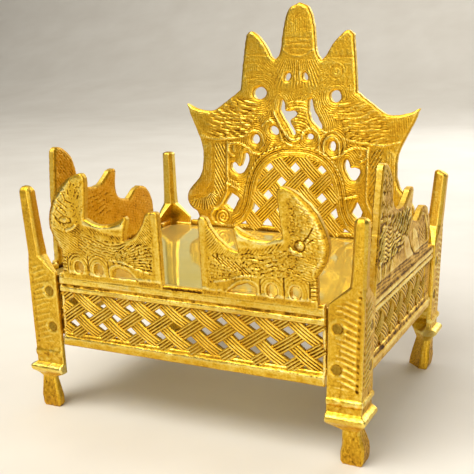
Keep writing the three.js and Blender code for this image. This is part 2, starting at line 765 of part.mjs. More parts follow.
// Seat plate: flat sheet with cut corners, lying on the ledges inside the panels.
function seatGeometry() {
  const inset = frameBackInset + seatSideGap - leanAt(seatTop - seatThickness);
  const halfWidth = bodyWidth / 2 - inset;
  const halfDepth = bodyDepth / 2 - inset;
  const outline = [];
  for (const [x, y, first] of [[1, -1, 'x'], [1, 1, 'y'], [-1, 1, 'x'], [-1, -1, 'y']]) {
    const cutX = new THREE.Vector2(x * (halfWidth - seatCornerCut), y * halfDepth);
    const cutY = new THREE.Vector2(x * halfWidth, y * (halfDepth - seatCornerCut));
    outline.push(...(first === 'x' ? [cutX, cutY] : [cutY, cutX]));
  }
  const shape = new THREE.Shape(outline);
  const sheet = new THREE.ExtrudeGeometry(shape, { depth: seatThickness, bevelEnabled: false });
  return sheet.translate(0, 0, seatTop - seatThickness);
}

// Adds one named mesh to the throne.
const throne = new THREE.Group();
function addPiece(name, geometry, finish) {
  const mesh = new THREE.Mesh(geometry, new THREE.MeshStandardMaterial(finish));
  mesh.name = name;
  throne.add(mesh);
  return mesh;
}

const corners = {
  front_left: { x: -1, y: -1 },
  front_right: { x: 1, y: -1 },
  back_left: { x: -1, y: 1 },
  back_right: { x: 1, y: 1 },
};
for (const [name, corner] of Object.entries(corners)) {
  addPiece(`post_${name}`, geometryOf(postSolid(corner)), castBrass);
}

const panelSolids = {
  front: frontPanelSolid(),
  back: backPanelSolid(),
  left: sidePanelSolid(walls.left, -1),
  right: sidePanelSolid(walls.right, 1),
};
for (const [name, solid] of Object.entries(panelSolids)) {
  const placed = solidOf(geometryOf(solid).applyMatrix4(wallMatrix(walls[name])));
  const holed = cutRivetHoles(placed, (rivet) => rivet.wallName === name);
  addPiece(`${name}_panel`, geometryOf(holed), castBrass);
}

addPiece('seat_plate', seatGeometry(), polishedBrass);

for (const rivet of rivets) {
  const name = `rivet_${rivet.wallName}_${endName(rivet.wall, rivet.end)}_${rivet.level}`;
  addPiece(name, rivetGeometry(rivet), rivetBrass).position.copy(rivet.place);
}

// The back leans out further than the front, so the throne moves to sit over the origin.
const middle = new THREE.Box3().setFromObject(throne).getCenter(new THREE.Vector3());
for (const mesh of throne.children) mesh.position.sub(middle.clone().setZ(0));

export default throne;
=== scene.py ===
import math
from collections import namedtuple
import bpy
import numpy as np
from mathutils import Matrix, Vector


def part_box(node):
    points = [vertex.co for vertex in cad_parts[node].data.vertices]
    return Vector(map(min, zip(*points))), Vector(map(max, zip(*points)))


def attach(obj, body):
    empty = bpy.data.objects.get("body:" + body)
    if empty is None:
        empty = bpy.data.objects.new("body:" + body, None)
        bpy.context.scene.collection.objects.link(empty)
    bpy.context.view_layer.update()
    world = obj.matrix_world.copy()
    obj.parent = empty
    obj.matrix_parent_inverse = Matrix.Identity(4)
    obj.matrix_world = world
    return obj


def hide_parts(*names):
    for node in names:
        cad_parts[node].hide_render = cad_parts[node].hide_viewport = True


# A small cast brass shrine throne: four corner posts, four pierced and ornamented panels,
# sixteen rivets and a loose polished plate. Lengths here are millimetres on the real throne.

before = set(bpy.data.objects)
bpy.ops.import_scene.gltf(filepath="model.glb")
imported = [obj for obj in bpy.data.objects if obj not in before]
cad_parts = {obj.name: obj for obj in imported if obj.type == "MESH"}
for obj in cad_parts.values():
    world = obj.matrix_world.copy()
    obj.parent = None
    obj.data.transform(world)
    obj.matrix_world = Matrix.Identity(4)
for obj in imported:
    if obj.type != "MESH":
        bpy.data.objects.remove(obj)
MM = 0.001


def note_size():
    """Brings the scene up to date before and after the looks are built."""
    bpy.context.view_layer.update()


note_size()

# Sizes shared with the solid model
BODY_WIDTH = 150.0
BODY_DEPTH = 121.6
DATUM_HEIGHT = 30.0
WALL_LEAN = 0.026
FLANGE_WIDTH = 14.0
FRAME_END_GAP = 0.8
RAIL_INSET = 0.6
WEB_INSET = 1.7
FRAME_BACK_INSET = 4.6
TAB_INSET = 2.3
TAB_END_INSET = 5.6
GROOVE_DEPTH = 0.7
GROOVE_HEIGHT = 0.9
CREST_ROOT = 2.0
CREST_THICKNESS = 2.7
SEAT_TOP = 60.7
SEAT_THICKNESS = 1.3
SEAT_CORNER_CUT = 5.0
SEAT_SKIN = 0.15
LEDGE_REACH = 2.2
LEDGE_THICKNESS = 1.6
PIECE_GAP = 0.3
Levels = namedtuple("Levels", "bottom lower_rail web_bottom web_top groove rail_top sill")
FRONT_LEVELS = Levels(30.3, 34.6, 36.4, 54.6, 57.4, 61.4, 63.0)
SIDE_LEVELS = Levels(33.8, 38.2, 40.6, 57.0, 59.2, 62.4, 63.6)
BAND_PITCH = 14.2
BAND_ROW_RISE = 5.0
FRONT_BAND_SHIFT = 2.3
SIDE_BAND_BACK_CLEAR = 9.5
EDGE_ROUND = 0.35

# The throne sits over the origin, so both pairs of walls share one small move along y
SHIFT_Y = (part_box("post_front_left")[0].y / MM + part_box("post_back_left")[1].y / MM) / 2

COARSENESS = 1.0


# Finishes
def hex_colour(code):
    """Linear colour of an sRGB hex code, with full alpha."""
    channels = [int(code[i:i + 2], 16) / 255 for i in (1, 3, 5)]
    linear = [c / 12.92 if c <= 0.04045 else ((c + 0.055) / 1.055) ** 2.4 for c in channels]
    return (*linear, 1.0)


def add_node(tree, kind, inputs=None, **settings):
    """Adds a node; an input is given a value, or the socket that feeds it."""
    node = tree.nodes.new(kind)
    for key, value in settings.items():
        setattr(node, key, value)
    for key, value in (inputs or {}).items():
        if isinstance(value, bpy.types.NodeSocket):
            tree.links.new(value, node.inputs[key])
        else:
            node.inputs[key].default_value = value
    return node


def new_material(name):
    material = bpy.data.materials.new(name)
    material.use_nodes = True
    material.node_tree.nodes.clear()
    return material, material.node_tree


def close_material(tree, surface):
    """Joins the finished surface to the output."""
    add_node(tree, "ShaderNodeOutputMaterial", {"Surface": surface.outputs[0]})


def ramp(tree, factor, stops):
    """Colour ramp through (place, colour) stops."""
    node = add_node(tree, "ShaderNodeValToRGB", {"Fac": factor})
    elements = node.color_ramp.elements
    while len(elements) < len(stops):
        elements.new(0.5)
    for element, (place, colour) in zip(elements, stops):
        element.position = place
        element.color = hex_colour(colour)
    return node.outputs["Color"]


def span_map(tree, value, low, high, to_low, to_high):
    """Maps a range of a value to another range and stops at its ends."""
    return add_node(tree, "ShaderNodeMapRange", {
        "Value": value, "From Min": low, "From Max": high, "To Min": to_low, "To Max": to_high,
    }).outputs["Result"]


def maths(tree, operation, *values):
    """One step of arithmetic on numbers or sockets."""
    return add_node(tree, "ShaderNodeMath", dict(enumerate(values)), operation=operation).outputs[0]


def noise(tree, place, size_mm, detail=3.0, stretch=None):
    """Noise whose blotches are about so many millimetres across."""
    if stretch:
        place = add_node(tree, "ShaderNodeMapping", {"Vector": place, "Scale": stretch}).outputs["Vector"]
    return add_node(tree, "ShaderNodeTexNoise", {
        "Vector": place, "Scale": 1 / (size_mm * MM), "Detail": detail, "Roughness": 0.55,
    }).outputs["Fac"]


def brass(name, filed, rubbed, bright, middle, deep, roughness, grain):
    """Yellow brass: pale where it is filed or rubbed and where highlights are painted, brown where polish and dust
    stay in the hollows and where shade is painted.
    """
    material, tree = new_material(name)
    place = add_node(tree, "ShaderNodeTexCoord").outputs["Object"]
    relief, phase, cut, bare = [add_node(tree, "ShaderNodeAttribute", attribute_name=key).outputs["Fac"]
                                for key in ("relief", "lines", "cut", "bare")]
    # The real casting grain is about 0.2 mm; it is drawn at 0.9 mm so that it still shows
    pores = noise(tree, place, 0.9, 4.0)
    rough_patch = span_map(tree, noise(tree, place, 7.0, 2.0), 0.35, 0.65, 0.2, 0.5)
    speck = maths(tree, "MULTIPLY", span_map(tree, pores, 0.3, 0.7, -1.0, 1.0), rough_patch)
    # Fine engraved lines follow the phase kept on the mesh, and break off here and there
    whole = span_map(tree, noise(tree, place, 2.4, 2.0), 0.36, 0.54, 0.25, 1.0)
    line = maths(tree, "MULTIPLY", maths(tree, "COSINE", maths(tree, "MULTIPLY", phase, 2 * math.pi)),
                 maths(tree, "MULTIPLY", cut, whole))
    # Cut walls were filed last and are the palest and the roughest metal; their pale colour is partly filed brass and
    # partly a painted highlight
    wear_and_painted_light = span_map(tree, noise(tree, place, 11.0), 0.3, 0.7, -0.16, 0.16)
    for part in (relief, speck, maths(tree, "MULTIPLY", line, 0.5), maths(tree, "MULTIPLY", bare, 0.75)):
        wear_and_painted_light = maths(tree, "ADD", wear_and_painted_light, part)
    level = span_map(tree, wear_and_painted_light, -1.0, 1.0, 0.0, 1.0)
    tone = ramp(tree, level, [(0.06, deep), (0.3, middle), (0.52, bright), (0.84, rubbed), (1.0, filed)])
    # Parts handled less are more orange than the rest
    warm = add_node(tree, "ShaderNodeMix", {
        0: span_map(tree, noise(tree, place, 26.0), 0.42, 0.7, 0.0, 0.55), 6: tone, 7: hex_colour(middle),
    }, data_type="RGBA").outputs[2]
    rough = span_map(tree, pores, 0.3, 0.7, -0.05, 0.08)
    for part in (span_map(tree, level, 0.1, 0.7, roughness + 0.3, roughness), maths(tree, "MULTIPLY", bare, 0.18)):
        rough = maths(tree, "ADD", rough, part)
    grooves = add_node(tree, "ShaderNodeBump", {"Height": line, "Strength": 1.0, "Distance": 0.00012})
    bump = add_node(tree, "ShaderNodeBump", {
        "Height": pores, "Strength": grain, "Distance": 0.0003, "Normal": grooves.outputs["Normal"],
    })
    close_material(tree, add_node(tree, "ShaderNodeBsdfPrincipled", {
        "Base Color": warm, "Metallic": 1.0, "Roughness": rough, "Normal": bump.outputs["Normal"],
    }))
    return material


CAST_BRASS = brass("sand_cast_yellow_brass", "#fdea96", "#f8dd6c", "#e6b934", "#c49426", "#4e2c0c", 0.3, 0.6)
RIVET_BRASS = brass("hammered_rivet_brass", "#dcc468", "#caa844", "#ac8a2c", "#84641c", "#3e2a0e", 0.4, 0.9)


def sheet_brass(name, pale, deep):
    """Rolled and polished sheet: pale lemon, mirror-like, with fine scratches that run from side to side."""
    material, tree = new_material(name)
    place = add_node(tree, "ShaderNodeTexCoord").outputs["Object"]
    cloud = noise(tree, place, 30.0)
    # The real scratches are about 0.1 mm apart; they are drawn at 1 mm so that they still show
    scratches = noise(tree, place, 1.0, 2.0, (0.06, 1.0, 1.0))
    tone = ramp(tree, cloud, [(0.35, pale), (0.75, deep)])
    bump = add_node(tree, "ShaderNodeBump", {"Height": scratches, "Strength": 0.06, "Distance": 0.0002})
    mirror, haze = [add_node(tree, "ShaderNodeBsdfPrincipled", {
        "Base Color": tone, "Metallic": 1.0, "Roughness": value, "Normal": bump.outputs["Normal"],
    }) for value in (span_map(tree, scratches, 0.35, 0.7, 0.02, 0.09), 0.75)]
    # Wear from handling spreads a part of the light
    close_material(tree, add_node(tree, "ShaderNodeMixShader", {
        0: span_map(tree, cloud, 0.35, 0.7, 0.3, 0.45), 1: mirror.outputs[0], 2: haze.outputs[0],
    }))
    return material


PLATE_BRASS = sheet_brass("polished_sheet_brass", "#f8ec94", "#e8d870")


# Places on the walls
class Wall:
    """One side of the throne: s runs level along it, v is the height, depth goes inward."""

    def __init__(self, name, apart, levels, lean=0.0):
        self.name = name
        # How far it stands from the wall across from it
        self.apart = apart
        self.levels = levels
        self.lean = lean
        # Sheets drawn over s and v face outward on the front and the right only
        self.flip = name in ("back", "left")

    def leaning(self, lean):
        """The same wall with the extra outward lean of its crest."""
        return Wall(self.name, self.apart, self.levels, lean)

    def place(self, s, v, depth):
        out = self.apart / 2 + WALL_LEAN * (v - DATUM_HEIGHT) + self.lean * (v - self.levels.rail_top) - depth
        spots = {"front": (s, SHIFT_Y - out, v), "back": (s, SHIFT_Y + out, v),
                 "left": (-out, s + SHIFT_Y, v), "right": (out, s + SHIFT_Y, v)}[self.name]
        return np.stack(np.broadcast_arrays(*spots), axis=-1) * MM


FRONT, BACK = [Wall(name, BODY_DEPTH, FRONT_LEVELS) for name in ("front", "back")]
LEFT, RIGHT = [Wall(name, BODY_WIDTH, SIDE_LEVELS) for name in ("left", "right")]


# Curves
def curve(points, steps=6, closed=False, hand=1):
    """Smooth curve through given points; hand is -1 for its mirror image."""
    knots = np.asarray(points, float) * [hand, 1]
    knots = np.vstack([knots[-1:], knots, knots[:2]] if closed else [knots[:1], knots, knots[-1:]])
    t = np.linspace(0, 1, steps, endpoint=False)[:, None]
    runs = [0.5 * (2 * b + (c - a) * t + (2 * a - 5 * b + 4 * c - d) * t ** 2 + (3 * b - a - 3 * c + d) * t ** 3)
            for a, b, c, d in zip(knots[:-3], knots[1:-2], knots[2:-1], knots[3:])]
    return np.vstack(runs if closed else runs + [knots[-2:-1]])


def joined(stretches, steps=4):
    """Outline of smooth stretches that meet at corners."""
    runs = [np.asarray(stretches[0][:1], float)]
    for stretch in stretches:
        runs.append((np.asarray(stretch, float) if len(stretch) == 2 else curve(stretch, steps))[1:])
    return np.vstack(runs)


def oval(centre, width, height, tilt=0.0, steps=28):
    turn = np.linspace(0, 2 * np.pi, steps, endpoint=False)
    across, up = np.cos(turn) * width / 2, np.sin(turn) * height / 2
    return np.stack([centre[0] + across * np.cos(tilt) - up * np.sin(tilt),
                     centre[1] + across * np.sin(tilt) + up * np.cos(tilt)], axis=1)


def box_path(left, right, bottom, top):
    return np.array([(left, bottom), (right, bottom), (right, top), (left, top)], float)


def mirrored(path):
    """A path and its mirror image, joined into one outline across the middle."""
    half = np.asarray(path, float)
    return np.vstack([half, (half * [-1, 1])[::-1][1:]])


# Relief drawn over a wall
def hump(x):
    """Smooth ridge section: one at nought, nothing beyond one."""
    return np.clip(1 - x * x, 0, 1) ** 1.5


def step_up(x):
    x = np.clip(x, 0, 1)
    return x * x * (3 - 2 * x)


def rise(x, start, span):
    """Smooth step up that begins where x passes start."""
    return step_up((x - start) / span)


def fall(x, end, span):
    """Smooth step down that reaches nought at end."""
    return step_up((end - x) / span)


def ripple(phase, sharp=1.0):
    """Parallel ridges, one for each whole turn of the phase."""
    return (0.5 + 0.5 * np.cos(2 * np.pi * phase)) ** sharp


def covered(base, zone, height):
    """Relief with a zone of it replaced."""
    return base * (1 - zone) + zone * height


class Field:
    """A panel drawn over a grid: how deep each spot is in the metal, and its relief."""

    def __init__(self, low, high, step):
        self.step = step * COARSENESS
        self.s = np.arange(low[0], high[0] + self.step, self.step)
        self.v = np.arange(low[1], high[1] + self.step, self.step)
        self.S, self.V = np.meshgrid(self.s, self.v, indexing="ij")
        self.edge = np.full(self.S.shape, 4.0)
        self.outer, self.inner, self.outer_tint, self.inner_tint = np.zeros((4, *self.S.shape))
        self.lines = dict(zip(("outer", "inner"), np.zeros((2, *self.S.shape))))
        self.cut = dict(zip(("outer", "inner"), np.zeros((2, *self.S.shape))))

    def window(self, low, high):
        i0, i1 = np.searchsorted(self.s, [low[0], high[0]])
        j0, j1 = np.searchsorted(self.v, [low[1], high[1]])
        return slice(i0, i1), slice(j0, j1)

    def near(self, path, reach, closed=False):
        """Distance to a path, the length along it and the side of it, within a reach."""
        points = np.asarray(path, float)
        if closed:
            points = np.vstack([points, points[:1]])
        gap = np.full(self.S.shape, float(reach))
        along, side = np.zeros((2, *self.S.shape))
        start = 0.0
        for a, b in zip(points[:-1], points[1:]):
            run = b - a
            length = math.hypot(*run)
            if length < 1e-9:
                continue
            spot = self.window(np.minimum(a, b) - reach, np.maximum(a, b) + reach)
            s, v = self.S[spot] - a[0], self.V[spot] - a[1]
            t = np.clip((s * run[0] + v * run[1]) / length ** 2, 0, 1)
            here = np.hypot(s - t * run[0], v - t * run[1])
            closer = here < gap[spot]
            gap[spot][closer] = here[closer]
            along[spot][closer] = (start + t * length)[closer]
            side[spot][closer] = ((run[0] * v - run[1] * s) / length)[closer]
            start += length
        return gap, along, side

    def within(self, path):
        """True inside a closed outline."""
        points = np.asarray(path, float)
        mask = np.zeros(self.S.shape, bool)
        spot = self.window(points.min(0) - self.step, points.max(0) + self.step)
        S, V = self.S[spot], self.V[spot]
        for a, b in zip(points, np.roll(points, -1, axis=0)):
            if a[1] != b[1]:
                crossing = a[0] + (V - a[1]) * (b[0] - a[0]) / (b[1] - a[1])
                mask[spot] ^= ((a[1] > V) != (b[1] > V)) & (S < crossing)
        return mask

    def signed(self, path, reach=4.0):
        """Distance inside a closed outline, negative outside it."""
        gap, _, _ = self.near(path, reach, closed=True)
        return np.where(self.within(path), gap, -gap)

    def cut_to(self, path):
        self.edge = np.minimum(self.edge, self.signed(path))

    def pierce(self, path):
        self.edge = np.minimum(self.edge, -self.signed(path))

    def ridge(self, path, width, height, closed=False):
        gap, _, _ = self.near(path, width / 2, closed)
        return height * hump(gap / (width / 2))

    def bead(self, points, width, height, hand=1):
        """A ridge along a smooth path."""
        return self.ridge(curve(points, hand=hand), width, height)

    def rope(self, path, width, height, pitch, slant=0.6):
        """Raised band crossed by slanting nicks."""
        gap, along, side = self.near(path, width / 2)
        return height * hump(gap / (width / 2)) * (0.45 + 0.55 * ripple((along + slant * side) / pitch))

    def patch(self, path, soft=1.0):
        """One well inside an outline, fading to nothing at its edge."""
        return step_up(self.signed(path, soft + self.step) / soft)

    def leaf(self, points, soft=1.0, hand=1):
        """A patch with a smooth outline."""
        return self.patch(curve(points, closed=True, hand=hand), soft)

    def strokes(self, marks, height):
        """Short raised feather strokes: place, direction, length and width of each."""
        total = np.zeros(self.S.shape)
        for (s, v), angle, length, width in marks:
            spot = self.window((s - length, v - length), (s + length, v + length))
            x, y = self.S[spot] - s, self.V[spot] - v
            ahead = x * math.cos(angle) + y * math.sin(angle)
            beside = -x * math.sin(angle) + y * math.cos(angle)
            past = np.abs(ahead) - length / 2 + width / 2
            total[spot] = np.maximum(total[spot], hump(np.hypot(np.maximum(past, 0), beside) / (width / 2)))
        return height * total

    def roughen(self, seed):
        """Lets the outline and the holes waver a little, as hand-filed edges do."""
        self.edge = self.edge + (self.wander(4.5, 0.16, seed) + 0.07 * self.grain(2.0, seed)) * (self.edge < 3.6)

    def engrave(self, face, zone, phase, depth=1.0):
        """Fine lines over a soft zone, one for each whole turn of the phase, in place of those under them."""
        own = zone > 0.5
        self.lines[face][own] = np.broadcast_to(phase, zone.shape)[own]
        self.cut[face] = np.where(own, depth * (2 * zone - 1), self.cut[face] * (1 - 2 * zone))

    def wander(self, size, amount, seed):
        """Slow wavering that keeps lines from looking ruled."""
        rng = np.random.default_rng(seed)
        total = np.zeros(self.S.shape)
        for _ in range(5):
            turn, offset = rng.uniform(0, 2 * np.pi, 2)
            rate = 2 * np.pi / (size * rng.uniform(0.7, 1.5))
            total += np.sin(rate * (self.S * math.cos(turn) + self.V * math.sin(turn)) + offset)
        return amount * total / 5

    def grain(self, size, seed):
        """Random lumps about so many millimetres across, mostly between -1 and 1."""
        lumps = np.random.default_rng(seed).normal(size=self.S.shape)
        if size > 4 * self.step:
            lumps = blur(lumps, size / self.step / 4)
        else:
            for axis in (0, 1):
                lumps = np.roll(lumps, 1, axis) + 2 * lumps + np.roll(lumps, -1, axis)
        return lumps / (2 * lumps.std())

    def lumps(self, size, seed):
        """The same, never outside -1 to 1."""
        return np.clip(self.grain(size, seed), -1, 1)

    def sample(self, values, s, v):
        """Reads a drawing between its grid points."""
        x = np.clip((s - self.s[0]) / self.step, 0, len(self.s) - 1.001)
        y = np.clip((v - self.v[0]) / self.step, 0, len(self.v) - 1.001)
        i, j = int(x), int(y)
        fx, fy = x - i, y - j
        low, high = [values[i, k] * (1 - fx) + values[i + 1, k] * fx for k in (j, j + 1)]
        return low * (1 - fy) + high * fy


def blur(values, cells):
    """Running mean, three times over in both directions."""
    cells = max(1, int(round(cells)))
    size = 2 * cells + 1
    for _ in range(3):
        for axis in (0, 1):
            pads = [(0, 0), (0, 0)]
            pads[axis] = (cells + 1, cells)
            total = np.cumsum(np.pad(values, pads, mode="edge"), axis=axis)
            count = total.shape[axis]
            values = (np.take(total, range(size, count), axis) - np.take(total, range(count - size), axis)) / size
    return values


def worn(heights, inside, step, scale=0.24):
    """How far each spot stands above or lies below the metal around it, from -1 to 1."""
    weight = inside.astype(float) + 1e-6
    around = blur(heights * weight, 1.3 / step) / blur(weight, 1.3 / step)
    return np.clip((heights - around) / scale, -1, 1)


# Meshes
def add_object(name, data):
    piece = bpy.data.objects.new(name, data)
    bpy.context.scene.collection.objects.link(piece)
    return piece


def keep_values(mesh, key, data, kind="FLOAT", domain="POINT"):
    """Writes one named value for each point, edge or face."""
    field = "vector" if kind == "FLOAT_VECTOR" else "value"
    values = np.asarray(data, bool if kind == "BOOLEAN" else np.float32)
    mesh.attributes.new(key, kind, domain).data.foreach_set(field, values.ravel())


def build_mesh(name, points, faces, values, material, rim=None, walls=0):
    """Mesh from points and arrays of faces with equal side counts.

    Edges between rim points stay crisp, and so many of the last faces are bare cut walls.
    """
    mesh = bpy.data.meshes.new(name)
    faces = [f for f in faces if len(f)]
    corners = np.concatenate([f.ravel() for f in faces]).astype(np.int32)
    counts = np.concatenate([np.full(len(f), f.shape[1]) for f in faces])
    starts = np.concatenate([[0], np.cumsum(counts)[:-1]]).astype(np.int32)
    mesh.vertices.add(len(points))
    mesh.vertices.foreach_set("co", np.ascontiguousarray(points, np.float32).ravel())
    mesh.loops.add(len(corners))
    mesh.loops.foreach_set("vertex_index", corners)
    mesh.polygons.add(len(counts))
    mesh.polygons.foreach_set("loop_start", starts)
    mesh.update(calc_edges=True)
    mesh.polygons.foreach_set("use_smooth", np.ones(len(counts), bool))
    for key, data in values.items():
        keep_values(mesh, key, data)
    mesh.materials.append(material)
    mesh.validate()
    if rim is not None:
        ends = np.empty(len(mesh.edges) * 2, np.int32)
        mesh.edges.foreach_get("vertices", ends)
        first, second = rim[ends[::2]], rim[ends[1::2]]
        keep_values(mesh, "sharp_edge", (first > 0) & (first == second), "BOOLEAN", "EDGE")
        count = len(mesh.polygons)
        # Cut walls are marked for a paler colour, partly filed metal and partly a painted highlight
        keep_values(mesh, "bare", np.arange(count) >= count - walls, "FLOAT", "FACE")
    return add_object(name, mesh)


# Faces of one grid square for each choice of corners that lie in the metal. Corners are 0 to 3
# around the square, and 4 to 7 are the crossings on the sides that follow them.
SQUARE_FACES = {
    1: [(0, 4, 7)], 2: [(1, 5, 4)], 3: [(0, 1, 5, 7)], 4: [(2, 6, 5)], 5: [(0, 4, 7), (2, 6, 5)],
    6: [(1, 2, 6, 4)], 7: [(0, 1, 2, 6, 7)], 8: [(3, 7, 6)], 9: [(0, 4, 6, 3)], 10: [(1, 5, 4), (3, 7, 6)],
    11: [(0, 1, 5, 6, 3)], 12: [(2, 3, 7, 5)], 13: [(0, 4, 5, 2, 3)], 14: [(1, 2, 3, 7, 4)],
    15: [(0, 1, 2, 3)],
}


def plate_mesh(name, field, outer_depth, inner_depth, place, flip, material, rounding=EDGE_ROUND):
    """Closed plate over the metal of a field, with its relief on both faces and rounded edges."""
    inside = field.edge > 0
    drop = rounding - np.sqrt(rounding ** 2 - (rounding - np.clip(field.edge, 0, rounding)) ** 2)
    outer, inner = outer_depth - field.outer, inner_depth + field.inner
    corner = np.full(inside.shape, -1)
    total = int(inside.sum())
    corner[inside] = np.arange(total)
    refs, crossings = [], []
    for axis in (0, 1):
        first, second = (inside[:-1, :], inside[1:, :]) if axis == 0 else (inside[:, :-1], inside[:, 1:])
        here = np.nonzero(first != second)
        ids = np.full(first.shape, -1)
        ids[here] = total + np.arange(len(here[0]))
        refs.append(ids)
        total += len(here[0])
        there = (here[0] + 1, here[1]) if axis == 0 else (here[0], here[1] + 1)
        near, far = field.edge[here], field.edge[there]
        t = np.clip(near / (near - far), 0.04, 0.96)
        # Relief is taken from the end of the side that lies in the metal
        pick = tuple(np.where(near > 0, a, b) for a, b in zip(here, there))
        crossings.append((field.S[here] * (1 - t) + field.S[there] * t,
                          field.V[here] * (1 - t) + field.V[there] * t, pick))
    picks = [np.nonzero(inside)] + [pick for _, _, pick in crossings]

    def gathered(values):
        return np.concatenate([values[pick] for pick in picks])

    s = np.concatenate([field.S[picks[0]]] + [c[0] for c in crossings])
    v = np.concatenate([field.V[picks[0]]] + [c[1] for c in crossings])
    low = np.concatenate([drop[picks[0]], np.full(total - len(picks[0][0]), rounding)])
    outer_all, inner_all = gathered(outer) + low, gathered(inner) - low
    thin = inner_all - outer_all < 0.3
    middle = (inner_all + outer_all) / 2
    points = np.vstack([place(s, v, np.where(thin, middle - 0.15, outer_all)),
                        place(s, v, np.where(thin, middle + 0.15, inner_all))])
    rubbed = 0.55 * np.clip(1.2 - field.edge / 0.9, 0, 1)
    # Tone of each face: hollows darker, raised spots and rubbed edges paler, plus the tints, which carry painted
    # highlights and painted shade
    wear_and_painted_light_by_face = {"outer": np.clip(worn(-outer, inside, field.step) + rubbed + field.outer_tint, -1, 1),
             "inner": np.clip(worn(inner, inside, field.step) + rubbed + field.inner_tint, -1, 1)}
    values = {key: np.concatenate([gathered(sheets[face]) for face in ("outer", "inner")])
              for key, sheets in (("relief", wear_and_painted_light_by_face), ("lines", field.lines), ("cut", field.cut))}
    code = inside[:-1, :-1] * 1 + inside[1:, :-1] * 2 + inside[1:, 1:] * 4 + inside[:-1, 1:] * 8
    around = [corner[:-1, :-1], corner[1:, :-1], corner[1:, 1:], corner[:-1, 1:],
              refs[0][:, :-1], refs[1][1:, :], refs[0][:, 1:], refs[1][:-1, :]]
    faces, rims = [], []
    for key, shapes in SQUARE_FACES.items():
        cells = np.nonzero(code == key)
        for shape in shapes:
            faces.append(np.stack([around[k][cells] for k in shape], axis=1))
            for a, b in zip(shape, shape[1:] + shape[:1]):
                if a > 3 and b > 3:
                    start, end = around[a][cells], around[b][cells]
                    rims.append(np.stack([end, start, start + total, end + total], axis=1))
    faces = faces + [f[:, ::-1] + total for f in faces] + rims
    if flip:
        faces = [f[:, ::-1] for f in faces]
    # Rim points count one outside and two inside, so that edges across the thickness stay smooth
    side = np.arange(total) >= inside.sum()
    rim = np.concatenate([side * 1, side * 2])
    return build_mesh(name, points, faces, values, material, rim, sum(len(r) for r in rims))


# Straps, bars and rivets by nodes
def start_tree(name, inputs):
    """Node group with named inputs."""
    tree = bpy.data.node_groups.new(name, "GeometryNodeTree")
    for socket, kind in inputs.items():
        tree.interface.new_socket(socket, in_out="INPUT", socket_type="NodeSocket" + kind)
    tree.interface.new_socket("Result", in_out="OUTPUT", socket_type="NodeSocketGeometry")
    return tree, add_node(tree, "NodeGroupInput").outputs


def end_tree(tree, result, finish):
    """Makes the result real and gives it one finish."""
    real = add_node(tree, "GeometryNodeRealizeInstances", {"Geometry": result})
    done = add_node(tree, "GeometryNodeSetMaterial", {"Geometry": real.outputs["Geometry"], "Material": finish})
    add_node(tree, "NodeGroupOutput", {"Result": done.outputs["Geometry"]})
    return tree


def sweep_tree():
    """Node group that runs a section along every path."""
    tree, given = start_tree("run_section_along_paths", {
        "Paths": "Geometry", "Section": "Object", "Finish": "Material"})
    paths = add_node(tree, "GeometryNodeMeshToCurve", {"Mesh": given["Paths"]})
    level = add_node(tree, "GeometryNodeSetCurveNormal", {"Curve": paths.outputs["Curve"]}, mode="Z_UP")
    shape = add_node(tree, "GeometryNodeObjectInfo", {"Object": given["Section"]})
    section = add_node(tree, "GeometryNodeMeshToCurve", {"Mesh": shape.outputs["Geometry"]})
    swept = add_node(tree, "GeometryNodeCurveToMesh", {
        "Curve": level.outputs["Curve"], "Profile Curve": section.outputs["Curve"], "Fill Caps": True,
    })
    return end_tree(tree, swept.outputs["Mesh"], given["Finish"])


def stud_tree():
    """Node group that sets a stud, turned by its own direction, on every point."""
    tree, given = start_tree("set_studs_on_points", {
        "Points": "Geometry", "Stud": "Object", "Finish": "Material"})
    turn, size = [add_node(tree, "GeometryNodeInputNamedAttribute", {"Name": key}, data_type="FLOAT_VECTOR")
                  for key in ("turn", "size")]
    stud = add_node(tree, "GeometryNodeObjectInfo", {"Object": given["Stud"]})
    spots = add_node(tree, "GeometryNodeMeshToPoints", {"Mesh": given["Points"]})
    placed = add_node(tree, "GeometryNodeInstanceOnPoints", {
        "Points": spots.outputs["Points"], "Instance": stud.outputs["Geometry"],
        "Rotation": turn.outputs["Attribute"], "Scale": size.outputs["Attribute"],
    })
    return end_tree(tree, placed.outputs["Instances"], given["Finish"])


SWEEP = sweep_tree()
STUDS = stud_tree()


def bake(name, host, tree, scratch, values):
    """Runs a node group on a host, returns its result as a plain mesh and clears the scratch objects away."""
    modifier = host.modifiers.new(name, "NODES")
    modifier.node_group = tree
    for socket in tree.interface.items_tree:
        if socket.name in values:
            modifier[socket.identifier] = values[socket.name]
    host.update_tag()
    seen = bpy.context.evaluated_depsgraph_get()
    mesh = bpy.data.meshes.new_from_object(host.evaluated_get(seen), depsgraph=seen)
    host.modifiers.remove(modifier)
    mesh.name = name
    for used in (host, scratch):
        bpy.data.objects.remove(used)
    return mesh


def helper(name, points, edges, values, kind="FLOAT"):
    """Scratch object that carries points, edges and named values into a node group."""
    mesh = bpy.data.meshes.new(name)
    mesh.from_pydata([tuple(map(float, p)) for p in points], edges, [])
    for key, data in values.items():
        keep_values(mesh, key, data, kind)
    return add_object(name, mesh)


